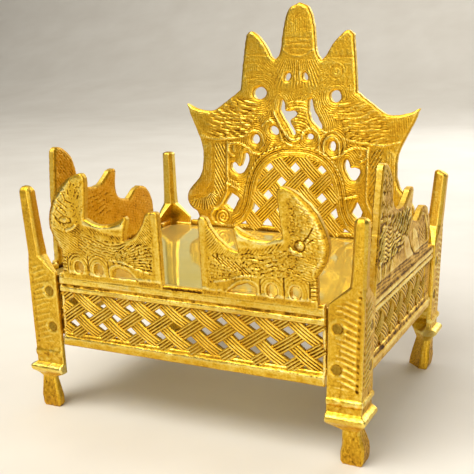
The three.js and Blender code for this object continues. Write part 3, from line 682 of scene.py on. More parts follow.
def swept(name, paths, section, wall, material, inward=False, patina_and_shade=0.0):
    """Sweeps a section along paths laid out flat as (s, v, height, dip), then sets them on a wall.

    Height runs out of the wall, or into the throne where the good side of the bars faces inward.
    Dip lowers the relief where the bar goes under another.
    A section is (across, height, relief) and runs along its top first.
    """
    points = [point for path in paths for point in path]
    ends = set(np.cumsum([len(path) for path in paths]) - 1)
    edges = [(k, k + 1) for k in range(len(points)) if k not in ends]
    host = helper(name + "_paths", [p[:3] for p in points], edges, {"dip": [p[3] for p in points]})
    # The section's second axis points down once the normals are level
    ring = [(across, -height, 0) for across, height, _ in section]
    loop = [(k, (k + 1) % len(ring)) for k in range(len(ring))]
    shape = helper(name + "_section", ring, loop, {"groove": [part[2] for part in section]})
    mesh = bake(name, host, SWEEP, shape, {"Section": shape, "Finish": material})
    count = len(mesh.vertices)
    flat = np.empty(count * 3, np.float32)
    mesh.vertices.foreach_get("co", flat)
    flat = flat.reshape(-1, 3).astype(float)
    reliefs = np.zeros((2, count), np.float32)
    for key, data in zip(("dip", "groove"), reliefs):
        mesh.attributes[key].data.foreach_get("value", data)
        mesh.attributes.remove(mesh.attributes[key])
    placed = wall.place(flat[:, 0], flat[:, 1], flat[:, 2] if inward else -flat[:, 2])
    mesh.vertices.foreach_set("co", placed.astype(np.float32).ravel())
    if wall.flip != inward:
        mesh.flip_normals()
    # Patina, and painted shade on the side walls, darken the whole weave
    keep_values(mesh, "relief", np.clip(reliefs[0] + reliefs[1] - patina_and_shade, -1, 1))
    mesh.shade_smooth()
    mesh.update()
    return add_object(name, mesh)


def strap_section(width, thickness, ridges, ridge_height):
    """Flat strap whose top carries rounded ridges; its sides carry a painted highlight and its underside is plain."""
    top = []
    for share in np.linspace(0, 1, 4 * ridges + 1):
        turn = math.cos(2 * math.pi * ridges * share)
        edge = abs(2 * share - 1) ** 8
        height = thickness / 2 - ridge_height * (0.5 + 0.5 * turn) * (1 - 0.5 * edge) - 0.2 * edge
        top.append((width * (share - 0.5), height, (-0.04 - 0.92 * turn) * (1 - edge) + 0.2 * edge))
    low, side = -thickness / 2, top[0][1] - 0.12
    # The pale sides are a painted highlight
    half = [(width / 2, side, 0.95), (width / 2 - 0.1, low + 0.2, 0.85), (width / 2 - 0.35, low, 0.1)]
    return top + half + [(-across, height, relief) for across, height, relief in half[::-1]]


def clip_line(path, inside):
    """Runs of a path that lie inside, as separate paths."""
    runs = [[]]
    for point in path:
        if inside(point):
            runs[-1].append(point)
        else:
            runs.append([])
    return [run for run in runs if len(run) > 2]


def woven(name, wall, region, origin, spacing, row_rise, section, depth, swing, inside=None, inward=False,
          patina_and_shade=0.0):
    """Plain weave of straps over a region, crossing at plus and minus one slope."""
    left, right, bottom, top = region
    slope = 2 * row_rise / spacing
    keep = inside or (lambda p: left <= p[0] <= right and bottom <= p[1] <= top)
    reach = (top - bottom) / slope / 2 + spacing
    first = math.floor((left - reach - origin[0]) / spacing)
    last = math.ceil((right + reach - origin[0]) / spacing)
    rises = np.arange(bottom - 0.5, top + 0.5, 0.6 * COARSENESS * slope / math.hypot(1, slope))
    paths = []
    for lay in (1, -1):
        for count in range(first, last + 1):
            path = []
            for v in rises:
                over = lay * math.cos(math.pi * (v - origin[1]) / row_rise)
                path.append((origin[0] + count * spacing + lay * (v - origin[1]) / slope, v,
                             swing * over + (depth if inward else -depth), 0.16 * over - 0.05))
            paths.extend(clip_line(path, keep))
    return swept(name, paths, section, wall, CAST_BRASS, inward, patina_and_shade)


# Panel frames
def frame_piece(wall, half_span, band, seed, patina_and_shade):
    """Rails, groove, sill, end tabs and inner ledge around the open band of a panel."""
    bottom, lower_rail, web_bottom, web_top, groove, rail_top, sill = wall.levels
    half = half_span - FLANGE_WIDTH - FRAME_END_GAP
    tab = half_span - TAB_END_INSET
    field = Field((-tab - 1, bottom - 1), (tab + 1, sill + 1), 0.4)
    S, V = field.S, field.V
    field.edge = np.maximum(field.signed(box_path(-half, half, bottom, sill)),
                            field.signed(box_path(-tab, tab, lower_rail, rail_top)))
    field.pierce(box_path(band[0], band[1], web_bottom - 0.4, web_top))
    groove_top = groove + GROOVE_HEIGHT
    outward = np.interp(V, *zip(
        (bottom, RAIL_INSET + 0.3), (bottom + 0.8, RAIL_INSET), (lower_rail - 0.6, RAIL_INSET),
        (lower_rail + 0.3, RAIL_INSET + 0.7), (web_bottom, WEB_INSET), (web_top - 0.1, WEB_INSET),
        (web_top + 0.5, RAIL_INSET), (groove - 0.3, RAIL_INSET), (groove, RAIL_INSET + GROOVE_DEPTH),
        (groove_top, RAIL_INSET + GROOVE_DEPTH), (groove_top + 0.3, RAIL_INSET), (rail_top - 0.3, RAIL_INSET),
        (rail_top + 0.3, RAIL_INSET + 0.35), (sill, RAIL_INSET + 0.4)))
    ledge_top = SEAT_TOP - SEAT_THICKNESS - PIECE_GAP
    ledge_bottom = ledge_top - LEDGE_THICKNESS
    inward = np.interp(V, *zip(
        (bottom, FRAME_BACK_INSET), (ledge_bottom - LEDGE_REACH, FRAME_BACK_INSET),
        (ledge_bottom, FRAME_BACK_INSET + LEDGE_REACH), (ledge_top, FRAME_BACK_INSET + LEDGE_REACH),
        (ledge_top + 0.1, FRAME_BACK_INSET), (sill, FRAME_BACK_INSET - 0.6)))
    ends = np.abs(S) > half
    field.outer += field.wander(14, 0.12, seed) + field.wander(3.5, 0.06, seed + 1)
    # Blotchy tone, less the patina and painted shade given for this wall
    field.outer_tint += 0.22 * field.lumps(3.5, seed + 3) - patina_and_shade
    # The joint under the crest is stained; the groove and the step under the band carry painted highlights that lift
    # their shade
    ragged = 0.65 + 0.35 * field.lumps(2.2, seed + 4)
    for height, reach, change in ((rail_top, 0.9, -0.32), (groove + 0.5, 1.1, 1.1), (lower_rail + 1.3, 1.9, 1.2)):
        field.outer_tint += change * hump((V - height) / reach) * ragged
    field.engrave("outer", 0.8 * step_up(field.edge / 0.8), (V + 0.02 * S + field.wander(9, 0.3, seed)) / 1.2, 0.3)
    field.inner += field.wander(9, 0.1, seed + 2)
    return plate_mesh(wall.name + "_frame", field, np.where(ends, TAB_INSET, outward),
                      np.where(ends, FRAME_BACK_INSET, inward), wall.place, wall.flip, CAST_BRASS, 0.5)


def finish_piece(piece, slot, *nodes):
    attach(piece, "root")
    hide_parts(*nodes)


STILE = 1.3
FRONT_STRAP = strap_section(5.0, 2.5, 4, 0.5)
SIDE_STRAP = strap_section(5.8, 1.6, 4, 0.45)
STRAP_DEPTH = 2.7
# How far the straps run into the frame at the ends, the foot and the top of a band
RUN_IN_ENDS, RUN_IN_FOOT, RUN_IN_TOP = 0.7, 1.2, 0.9

# The side frames and weaves are darkened more than the front and back: patina on all four walls, and painted shade on
# the sides, which face away from the lamps
for wall, span, seed, shift, back_clear, strap, swing, frame_patina_and_shade, weave_patina_and_shade in (
        (FRONT, BODY_WIDTH, 11, FRONT_BAND_SHIFT, STILE, FRONT_STRAP, 0.42, 0.14, 0.1),
        (BACK, BODY_WIDTH, 21, 0.0, STILE, FRONT_STRAP, 0.42, 0.14, 0.1),
        (LEFT, BODY_DEPTH, 31, -SIDE_BAND_BACK_CLEAR / 2, SIDE_BAND_BACK_CLEAR, SIDE_STRAP, 0.4, 0.34, 0.3),
        (RIGHT, BODY_DEPTH, 41, -SIDE_BAND_BACK_CLEAR / 2, SIDE_BAND_BACK_CLEAR, SIDE_STRAP, 0.4, 0.34, 0.3)):
    half = span / 2 - FLANGE_WIDTH - FRAME_END_GAP
    band = (-half + STILE, half - back_clear)
    finish_piece(frame_piece(wall, span / 2, band, seed, frame_patina_and_shade), "cast_brass", wall.name + "_panel")
    foot, top = wall.levels.web_bottom, wall.levels.web_top
    region = (band[0] - RUN_IN_ENDS, band[1] + RUN_IN_ENDS, foot - RUN_IN_FOOT, top + RUN_IN_TOP)
    weave = woven(wall.name + "_weave", wall, region, (shift, (foot + top) / 2), BAND_PITCH, BAND_ROW_RISE,
                  strap, STRAP_DEPTH, swing, inward=wall is BACK, patina_and_shade=weave_patina_and_shade)
    finish_piece(weave, "cast_brass", wall.name + "_panel")


# Crests stand on the sill and lean out a little more than the walls under them. Their outlines
# are drawn as shares of their length and height.
CREST_LEAN = {"front": 0.045, "back": 0.043, "left": 0.004, "right": 0.004}
CREST_INSET = {"front": 0.8, "back": 1.3, "left": 1.5, "right": 1.5}


def crest(name, wall, field):
    inset, leaning = CREST_INSET[wall.name], wall.leaning(CREST_LEAN[wall.name])
    piece = plate_mesh(name, field, inset, inset + CREST_THICKNESS, leaning.place, leaning.flip, CAST_BRASS)
    finish_piece(piece, "cast_brass", wall.name + "_panel")


# Front birds
FINGER_WIDTH = 6.0
BIRD_POST_GAP = 6.6
BIRD_START = 9.0
BIRD_LENGTH = BODY_WIDTH / 2 - FINGER_WIDTH - BIRD_POST_GAP - BIRD_START
FRONT_CREST_FOOT = FRONT_LEVELS.sill - CREST_ROOT
BIRD_HEIGHT = 46.0
BIRD_STRETCHES = [
    [[0, 0], [0, 0.674]],
    [[0, 0.674], [0.022, 0.702], [0.06, 0.691]],
    [[0.06, 0.691], [0.112, 0.578], [0.187, 0.491], [0.255, 0.435], [0.315, 0.42]],
    [[0.315, 0.42], [0.298, 0.511], [0.277, 0.604], [0.292, 0.635]],
    [[0.292, 0.635], [0.365, 0.591], [0.459, 0.552], [0.552, 0.543], [0.652, 0.587]],
    [[0.652, 0.587], [0.648, 0.696], [0.629, 0.837], [0.624, 0.963]],
    [[0.624, 0.963], [0.655, 1], [0.74, 0.978], [0.833, 0.904], [0.918, 0.796], [0.974, 0.663],
     [1, 0.522], [0.974, 0.391], [0.91, 0.272]],
    [[0.91, 0.272], [0.91, 0]],
]
# The left bird's doorway end was cut wider at its top
LEFT_BIRD_STRETCHES = [
    [[0, 0], [0, 0.684]],
    [[0, 0.684], [0.022, 0.702], [0.085, 0.695], [0.108, 0.68]],
    [[0.108, 0.68], [0.14, 0.59], [0.195, 0.497], [0.255, 0.437], [0.315, 0.42]],
] + BIRD_STRETCHES[3:]
BIRD_ARCH = [[0.215, 0.061], [0.29, 0.122], [0.375, 0.157], [0.434, 0.122], [0.442, 0.061]]
BIRD_ARCH_RIM = [[0.19, 0.05], [0.28, 0.15], [0.375, 0.19], [0.455, 0.15], [0.47, 0.05]]
BIRD_HOLES = [[0.566, 0.117], [0.747, 0.122]]


def bird_piece(name, side):
    def spot(share):
        return (side * (BIRD_START + share[0] * BIRD_LENGTH), FRONT_CREST_FOOT + share[1] * BIRD_HEIGHT)

    ends = sorted((side * (BIRD_START - 1), side * (BIRD_START + BIRD_LENGTH + 1)))
    field = Field((ends[0], FRONT_CREST_FOOT - 1), (ends[1], FRONT_CREST_FOOT + BIRD_HEIGHT + 1), 0.26)
    stretches = LEFT_BIRD_STRETCHES if side < 0 else BIRD_STRETCHES
    field.cut_to(joined([[spot(p) for p in stretch] for stretch in stretches]))
    field.pierce([spot(p) for p in BIRD_ARCH])
    for hole in BIRD_HOLES:
        field.pierce(oval(spot(hole), 4.3, 5.2))
    bird_relief(field, side, spot)
    crest(name, FRONT, field)


def bird_relief(field, side, spot):
    """Feathers, stippled neck, eye and rims of one bird; it faces away from the doorway."""
    S, V = field.S * side, field.V
    left = side < 0
    field.roughen(50 + side)
    wobble = field.wander(11, 0.4, 5 + side) + 0.3 * field.grain(2.4, 70 + side)
    patchy = 0.5 + 0.5 * field.lumps(2.6, 80 + side)
    breaks = rise(field.grain(1.5, 84 + side), -0.55, 0.5)
    pits = field.grain(0.7, 90 + side)
    # Broad chamfer along the nape and the top of the wing, where the casting was filed. The pale tint along all
    # edges, strongest on these top edges, is partly filed metal and partly a painted highlight
    upper = np.maximum(rise(S, 47, 7) * rise(V, 70, 8),
                       (0.9 if left else 0.6) * rise(V, 84, 2.5) * rise(S, 22, 5) * fall(S, 46, 3) * (V < 91))
    chamfer = 0.8 + 1.5 * upper
    outer = (0.4 + 0.6 * upper) * np.clip(field.edge / chamfer, 0, 1)
    field.outer_tint += (0.05 + 0.3 * upper) * fall(field.edge, chamfer + 0.3, 0.6)

    def zone(points, soft=0.8):
        return field.leaf(points, soft, side)

    def bead(points, width, height):
        return field.bead(points, width, height, side)

    # Plain strip along the doorway, with veins that rise from it
    border = 0.3 * np.sin(V / 7)
    outer += 0.06 * fall(S, 11.8 + border, 0.5) - 0.07 * hump((S - 12.3 - border) / 0.5) * (V > 66)
    veins = zone([(12.6, 80), (12.6, 92), (17, 86), (20, 81.5), (27, 79.5), (20, 78.6)])
    flow = (V - 0.9 * S - 0.03 * (S - 13) ** 2 + 0.5 * wobble) / 1.3
    outer -= (0.42 if left else 0.3) * veins * (0.3 + 0.7 * patchy) * ripple(flow, 2.4)

    # Fan of fine lines that spreads from the foot of the wing to the doorway
    fan = zone([(33, 73), (25, 78.8), (13.2, 79.4), (12.8, 71), (13.2, 66.4), (22, 68.4), (33, 70)])
    bearing = np.arctan2(V - 70.2, 35 - S)
    outer -= (0.42 if left else 0.2) * fan * (0.3 + 0.7 * patchy) * ripple(bearing * 14 + 0.35 * wobble, 1.8)
    outer -= 0.22 * fan * rise(pits, 0.3, 0.4)
    outer += bead([(15, 67.4), (20, 68.6), (27, 70.9), (33, 71.4)], 1.2, 0.35)
    if not left:
        outer -= field.strokes([((16.4 + 2.1 * k, 76.6 - 0.55 * k), -0.72, 5.4 + 1.3 * (k % 3), 0.75)
                                for k in range(7)], 0.45)

    # Smooth top of the wing, with short slanting cuts on its lower side
    outer += 0.3 * zone([(24.5, 88), (25.2, 82), (30, 81.2), (37, 82.6), (43.5, 85.8), (43, 88.4), (33, 86.4)], 2.0)
    cuts = zone([(26, 82.6), (34, 83.2), (44, 86.4), (45, 84), (37, 80.2), (27, 79.6)], 1.0)
    outer -= 0.34 * cuts * patchy * ripple((S - 0.8 * V + 0.5 * wobble) / 1.3, 2.2)

    # Long broken feathers under the wing
    gap, _, _ = field.near(curve([(14, 92), (17, 85), (23, 81), (31, 79), (39, 80.6), (47, 84)], hand=side), 16)
    feather = zone([(25, 80.4), (36, 80.8), (46, 84), (49, 77), (46, 71.5), (36, 71), (30, 73.4), (25, 77.6)], 1.2)
    outer -= (0.38 if left else 0.15) * feather * breaks * ripple((gap + 0.9 * wobble) / 1.25, 1.8)

    # Breast: close slanting hatch on one bird, pits and dashes on the other
    breast = zone([(47, 86), (53, 82.5), (59, 84), (61.5, 80), (59, 72), (56.6, 65.5), (52.5, 70), (46, 71.5),
                   (45.5, 79)], 1.2)
    if left:
        outer -= 0.4 * breast * (0.35 + 0.65 * patchy) * ripple((V - 0.62 * S + 0.7 * wobble) / 1.15, 1.8)
    else:
        field.engrave("outer", feather, (gap + 1.2 * wobble) / 1.25, 0.85)
        outer -= (0.12 * feather + 0.14 * breast) * rise(pits, 0.05, 0.5)
        for k in range(5):
            wave = [(27 + 2 * k + t, 79.4 - 1.5 * k + 0.5 * math.sin(t / 1.7 + k) + 0.12 * t)
                    for t in np.arange(0, 13 - k, 0.8)]
            outer -= patchy * field.ridge(np.array(wave) * [side, 1], 0.8, 0.4)
        field.engrave("outer", breast, (V + 0.16 * S + 1.3 * wobble) / 1.15, 0.6)

    # Uneven arcs that hang round the two round holes
    for centre in ((39.2, 66.2), (49.1, 66.4)):
        away = np.hypot(S - centre[0], (V - centre[1]) * 0.86)
        ring = fall(away, 7.4, 1.4) * rise(away, 3.6, 0.5) * (np.abs(S - centre[0]) < 5.2) * (0.25 + 0.75 * patchy)
        arcs = (0.4 if left else 0.26) * ripple((away - 3.2 + 0.6 * wobble) / 1.2, 1.8)
        outer = outer * (1 - 0.6 * ring) + ring * (0.36 - arcs)

    # Neck and head
    neck = zone([(43.2, 86), (43.4, 103), (46, 106), (52, 103), (58.5, 95), (62, 85), (55, 82), (48, 85)], 1.0)
    outer += 0.1 * neck
    if left:
        marks = [((54.5, 99), 0.3, 3.4, 0.8), ((52.6, 97), 1.2, 3.0, 0.8), ((55.8, 95.6), 0.5, 3.6, 0.8),
                 ((53.6, 93.8), 0.6, 5.4, 0.9), ((54.6, 92.1), 0.6, 5.8, 0.9), ((55.6, 90.2), 0.6, 5.0, 0.8),
                 ((51.2, 95.2), 0.5, 2.6, 0.8), ((57.4, 92.6), 1.0, 2.8, 0.8), ((50.6, 99.2), 1.5, 2.4, 0.7),
                 ((58.2, 88.4), 0.7, 3.8, 0.8), ((57.0, 86.4), 0.7, 4.2, 0.8)]
        outer -= field.strokes([((side * s, v), side * turn, length, width)
                                for (s, v), turn, length, width in marks], 0.42)
        outer -= 0.2 * neck * rise(pits, 0.4, 0.4)
        eye = curve([(50.4, 86.6), (52.4, 88.6), (55, 88.4), (56.4, 86.8), (54, 85.6)], closed=True, hand=side)
        outer -= field.ridge(eye, 0.8, 0.3, closed=True)
        outer += 0.25 * field.patch(oval((side * 53.4, 87.1), 2.2, 1.8), 0.6)
        outer += bead([(48.6, 85.0), (50.6, 83.4), (52.8, 82.8)], 1.8, 0.45)
    else:
        spread = neck * rise(S, 45.5, 3)
        outer -= 0.13 * spread * rise(pits, 0.1, 0.5)
        field.engrave("outer", spread, (V + 0.2 * S + 1.3 * wobble) / 1.2, 0.55)
        outer += 0.7 * field.patch(oval((side * 51.2, 85.2), 3.0, 3.0), 0.9)
        outer -= field.ridge(oval((side * 51.2, 85.2), 4.2, 4.2), 0.9, 0.4, closed=True)
        for points, width, height in (([(47.4, 83.6), (49.2, 82.2), (51.6, 81.8)], 1.9, 0.5),
                                      ([(52.8, 87.2), (54.6, 89.2), (56.4, 92.4)], 0.8, -0.6),
                                      ([(54.2, 86.4), (56.6, 88.2)], 0.7, -0.5)):
            outer += bead(points, width, height)

    # Raised rims round the holes, the cuts between them, and the plain sill they stand on
    for hole in BIRD_HOLES:
        outer += field.ridge(oval(spot(hole), 5.4, 6.3), 1.0, 0.18, closed=True)
    outer += field.bead([spot(p) for p in BIRD_ARCH_RIM], 1.1, 0.2)
    for foot, top, width, depth in ((34.2, (34.4, 70.5), 0.8, 0.45), (44.2, (44.2, 72), 0.9, 0.4),
                                    (54.6, (54.6, 71), 0.8, 0.4)):
        outer -= bead([(foot, 63.8), top], width, depth)
    outer -= 0.35 * rise(S, 54.8, 0.6) * (V < 72) * (V > 64) * ripple((V + 0.3 * wobble) / 1.5, 2.0)
    sill = fall(V, 64.0, 0.6)
    outer = covered(outer, sill, 0.3) + 0.5 * (patchy - 0.3) * hump((V - 64.4 - 0.5 * wobble) / 1.0)
    # A painted highlight runs along the top of the sill; the sill itself is a little darker
    field.outer_tint += 0.6 * hump((V - 64.2 - 0.5 * wobble) / 1.1) * (0.3 + 0.7 * patchy) - 0.1 * sill
    field.outer += outer - 0.07 * np.clip(pits, 0, 1.5) + field.wander(7, 0.06, 10)

    # The back of the casting is plain, with file marks across it
    field.inner += 0.3 * step_up(field.edge / 1.8) + field.wander(5, 0.1, 12) - 0.08 * np.clip(pits, 0, 1.5)


bird_piece("left_bird", -1)
bird_piece("right_bird", 1)

# Side crests
SIDE_FRONT_CLEAR = 15.8
SIDE_BACK_CLEAR = 21.8
SIDE_START = SIDE_FRONT_CLEAR - BODY_DEPTH / 2
SIDE_LENGTH = BODY_DEPTH - SIDE_FRONT_CLEAR - SIDE_BACK_CLEAR
SIDE_FOOT = SIDE_LEVELS.sill - CREST_ROOT
SIDE_HEIGHT = 52.2
SIDE_STRETCHES = [
    [[0, 0], [0.008, 0.455], [0.018, 0.739], [0.036, 0.972]],
    [[0.036, 0.972], [0.062, 1], [0.107, 0.985], [0.155, 0.936], [0.19, 0.871], [0.212, 0.777],
     [0.232, 0.682], [0.28, 0.614], [0.357, 0.583], [0.429, 0.587], [0.482, 0.629], [0.53, 0.686]],
    [[0.53, 0.686], [0.583, 0.701], [0.599, 0.667]],
    [[0.599, 0.667], [0.589, 0.578], [0.588, 0.492], [0.607, 0.432], [0.661, 0.394], [0.72, 0.379]],
    [[0.72, 0.379], [0.76, 0.417], [0.81, 0.458], [0.863, 0.466], [0.917, 0.436], [0.96, 0.369],
     [0.986, 0.284], [0.995, 0.17], [1, 0]],
]


def side_relief(field):
    """Outside: rough broken feathers with smooth leaves between. Inside: wavering strokes on a plain ground."""
    S, V = field.S, field.V
    field.roughen(55)
    wobble = field.wander(12, 0.5, 3) + 0.35 * field.grain(2.6, 60)
    patchy = 0.5 + 0.5 * field.lumps(2.4, 61)
    pits = field.grain(0.8, 62)
    clear = rise(field.edge, 0.7, 1.1)
    outer = 0.5 * np.clip(field.edge / 1.1, 0, 1)
    # Painted shade darkens the whole outside, as the sides face away from the lamps; the edges stay paler and the
    # tone is blotchy
    field.outer_tint += 0.22 * fall(field.edge, 1.3, 0.4) - 0.22 + 0.25 * field.lumps(4.5, 63)

    # Peak: fine slanting hatch worn to specks
    peak = field.patch([(-45, 90), (-44, 116), (-32, 114), (-28, 104), (-26, 96), (-36, 90)], 1.5)
    outer -= 0.3 * peak * patchy * ripple((S * 0.85 + V * 0.55 + wobble) / 1.5, 2.0)
    outer -= 0.3 * peak * rise(pits, 0.1, 0.5)

    # Small leaves scattered over the wing, most of them slanting back
    rng = np.random.default_rng(64)
    marks = []
    for row in range(9):
        for s in np.arange(-42, 2, 4.6):
            place = s + 2.3 * (row % 2) + rng.uniform(-1.1, 1.1)
            marks.append(((place, 75.5 + 2.0 * row + rng.uniform(-0.7, 0.7)),
                          0.45 + 0.55 * math.sin(place / 6 + 0.6 * row) + rng.uniform(-0.2, 0.2),
                          rng.uniform(3.4, 5.4), rng.uniform(1.5, 2.2)))
    scatter = field.leaf([(-44, 94), (-22, 92), (-4, 92), (4, 87), (0, 79), (-8, 74), (-44, 74)], 1.6)
    outer += (field.strokes(marks, 0.55) - 0.2) * scatter

    # Thick nested waves low on the wing
    waves = field.leaf([(-39, 87.5), (-31, 88.5), (-25, 85), (-25, 78), (-31, 74.5), (-39, 76)], 1.2)
    outer = covered(outer, waves, 0.2 + 0.7 * ripple((V - 1.1 * np.sin((S + 38) / 1.9) + 0.4 * wobble) / 1.8))

    # Upright leaves over the rail at the front, with nicks between them
    nicks = field.patch([(-45, 76), (-33, 75.5), (-22, 74), (-14, 67), (-45, 67)], 1.5)
    outer -= 0.4 * nicks * patchy * ripple((V * 0.5 - S * 0.9 + wobble) / 1.7, 1.6)
    for mark in (((-40, 71.5), 1.7, 9, 2.6), ((-33, 70.4), 1.5, 7.4, 2.4), ((-34, 90), 1.45, 6.4, 2.0),
                 ((-25, 71), 1.1, 6, 2.2)):
        leaf = field.strokes([mark], 1.0)
        outer = covered(outer, leaf, 0.68)
        field.outer_tint += 0.3 * leaf

    # Smooth leaves that sweep down to the rail
    for points in ([(-8, 80), (0, 77), (5, 71), (12, 66.5), (4, 66), (-3, 69), (-7, 74)],
                   [(6, 80), (13, 77.5), (18, 71), (22, 66), (14, 66.4), (8, 71)]):
        leaf = field.leaf(points)
        outer = covered(outer, leaf, 0.7)
        field.outer_tint += 0.35 * leaf
    outer -= field.bead([(0, 77.5), (5.5, 71.5), (12.5, 67.3), (21, 65.6)], 1.0, 0.45)

    # Lobe: a fan of lines that meet at its foot, inside a pale arc
    fan = field.leaf([(14, 80), (20, 84), (28, 84.5), (34, 79), (36, 70), (26, 67), (19, 74)], 1.6)
    outer -= 0.4 * fan * patchy * ripple(np.arctan2(V - 64, S - 41) * 13 + 0.3 * wobble, 2.0)
    outer += field.bead([(4, 84.2), (11, 82.4), (18, 83.6), (25, 82.4), (31, 77), (34, 69)], 1.5, 0.4)

    # Lines along the foot
    foot = fall(V, 68.5, 1.0)
    outer = outer * (1 - 0.5 * foot) - 0.14 * foot * ripple((V + 0.05 * S + 0.4 * wobble) / 1.6, 2.0)
    field.outer += covered(0.35 * np.clip(field.edge / 1.1, 0, 1), clear, outer - 0.1 * np.clip(pits, 0, 1.5))
    field.outer += field.wander(7, 0.08, 20)

    # Inside face
    inner = 0.45 * np.clip(field.edge / 1.2, 0, 1)
    field.inner_tint += 0.1 * fall(field.edge, 1.35, 0.4) + 0.05
    strokes = field.leaf([(-44, 94), (-28, 92), (-8, 90.5), (2, 86), (2, 79), (-10, 76), (-44, 76)], 2.0)
    flow = V - 0.12 * S + 0.5 * np.sin(S / 3.1) + 0.9 * wobble
    inner -= 0.24 * strokes * rise(field.grain(2.0, 65), -0.3, 0.5) * (ripple(flow / 2.3, 2.0) - 0.3)
    peak = field.patch([(-45, 96), (-44, 116), (-30, 114), (-28, 96)], 2.0)
    inner -= 0.25 * peak * patchy * ripple((S + V * 0.9 + wobble) / 1.8, 2.2)
    field.engrave("inner", 0.9 * clear, (V + 0.3 * S + 0.6 * wobble) / 1.3, 0.25)
    field.inner += inner + field.wander(3, 0.05, 22) + field.wander(9, 0.1, 23) - 0.06 * np.clip(pits, 0, 1.5)


for wall in (LEFT, RIGHT):
    field = Field((SIDE_START - 1, SIDE_FOOT - 1), (SIDE_START + SIDE_LENGTH + 1, SIDE_FOOT + SIDE_HEIGHT + 1), 0.35)
    field.cut_to(joined([[(SIDE_START + s * SIDE_LENGTH, SIDE_FOOT + v * SIDE_HEIGHT) for s, v in stretch]
                         for stretch in SIDE_STRETCHES]))
    side_relief(field)
    crest(wall.name + "_crest", wall, field)

# Back crest
BACK_END_CLEAR = 12.0
BACK_REACH = BODY_WIDTH / 2 - BACK_END_CLEAR
BACK_RISE = 115.0
BACK_STRETCHES = [
    [[0.873, 0], [0.873, 0.043]],
    [[0.873, 0.043], [0.897, 0.062], [0.944, 0.078], [0.981, 0.104], [0.984, 0.143], [0.944, 0.178],
     [0.881, 0.217], [0.849, 0.252], [0.838, 0.304], [0.841, 0.348], [0.862, 0.391], [0.905, 0.443],
     [0.96, 0.504], [1, 0.561]],
    [[1, 0.561], [0.913, 0.539], [0.81, 0.529], [0.73, 0.535], [0.651, 0.565], [0.571, 0.596], [0.5, 0.626]],
    [[0.5, 0.626], [0.492, 0.678], [0.481, 0.748], [0.465, 0.826], [0.457, 0.865]],
    [[0.457, 0.865], [0.421, 0.881], [0.373, 0.872], [0.317, 0.843], [0.27, 0.809], [0.238, 0.778],
     [0.2, 0.757]],
    [[0.2, 0.757], [0.167, 0.778], [0.148, 0.809], [0.143, 0.843], [0.13, 0.896], [0.111, 0.943],
     [0.076, 0.981], [0, 1]],
]
BACK_ROUND_HOLES = [
    ((-0.084, 0.684), 3, 4.2, -0.5), ((0.068, 0.687), 2.6, 4, 0.45), ((-0.325, 0.612), 7.4, 6.2, 0.3),
    ((0.327, 0.604), 5.8, 6, 0), ((-0.19, 0.45), 5.4, 4.2, -0.6), ((0.121, 0.428), 3.8, 3, 0),
    ((-0.356, 0.408), 4.6, 5.2, 0), ((0.314, 0.39), 3.4, 5, 0),
]
BACK_FREE_HOLES = [
    [[-0.454, 0.342], [-0.422, 0.339], [-0.41, 0.317], [-0.429, 0.283], [-0.468, 0.254], [-0.524, 0.248],
     [-0.568, 0.265], [-0.575, 0.29], [-0.544, 0.301], [-0.505, 0.283], [-0.476, 0.29], [-0.463, 0.317]],
    [[0.433, 0.336], [0.457, 0.32], [0.47, 0.301], [0.508, 0.303], [0.544, 0.294], [0.54, 0.27],
     [0.505, 0.248], [0.468, 0.252], [0.433, 0.278], [0.413, 0.309]],
    [[-0.127, 0.587], [-0.105, 0.57], [-0.098, 0.539], [-0.071, 0.536], [-0.019, 0.539], [0.006, 0.527],
     [-0.016, 0.511], [-0.051, 0.494], [-0.005, 0.446], [-0.024, 0.433], [-0.068, 0.471],
     [-0.114, 0.507], [-0.144, 0.535], [-0.143, 0.561]],
    [[0.105, 0.584], [0.129, 0.588], [0.148, 0.548], [0.184, 0.513], [0.222, 0.471], [0.2, 0.463],
     [0.13, 0.497], [0.11, 0.526], [0.102, 0.557]],
]
BACK_CORNER_HOLES = [
    [[-0.568, 0.161], [-0.495, 0.135], [-0.552, 0.076], [-0.63, 0.104]],
    [[0.532, 0.157], [0.579, 0.113], [0.556, 0.07], [0.487, 0.104]],
]
ARCH_INNER = [[0.5, 0.012], [0.43, 0.04], [0.37, 0.1], [0.34, 0.19], [0.3, 0.255], [0.225, 0.305],
              [0.12, 0.332], [0, 0.338]]


def back_spots(shares):
    return [(s * BACK_REACH, FRONT_CREST_FOOT + v * BACK_RISE) for s, v in shares]


BACK_OUTLINE = mirrored(joined([back_spots(stretch) for stretch in BACK_STRETCHES]))
ARCH_OPENING = mirrored(curve(back_spots(ARCH_INNER)))
BACK_HOLES = ([oval(back_spots([centre])[0], width, height, tilt) for centre, width, height, tilt in BACK_ROUND_HOLES]
              + [curve(back_spots(shares), closed=True) for shares in BACK_FREE_HOLES]
              + [back_spots(shares) for shares in BACK_CORNER_HOLES])


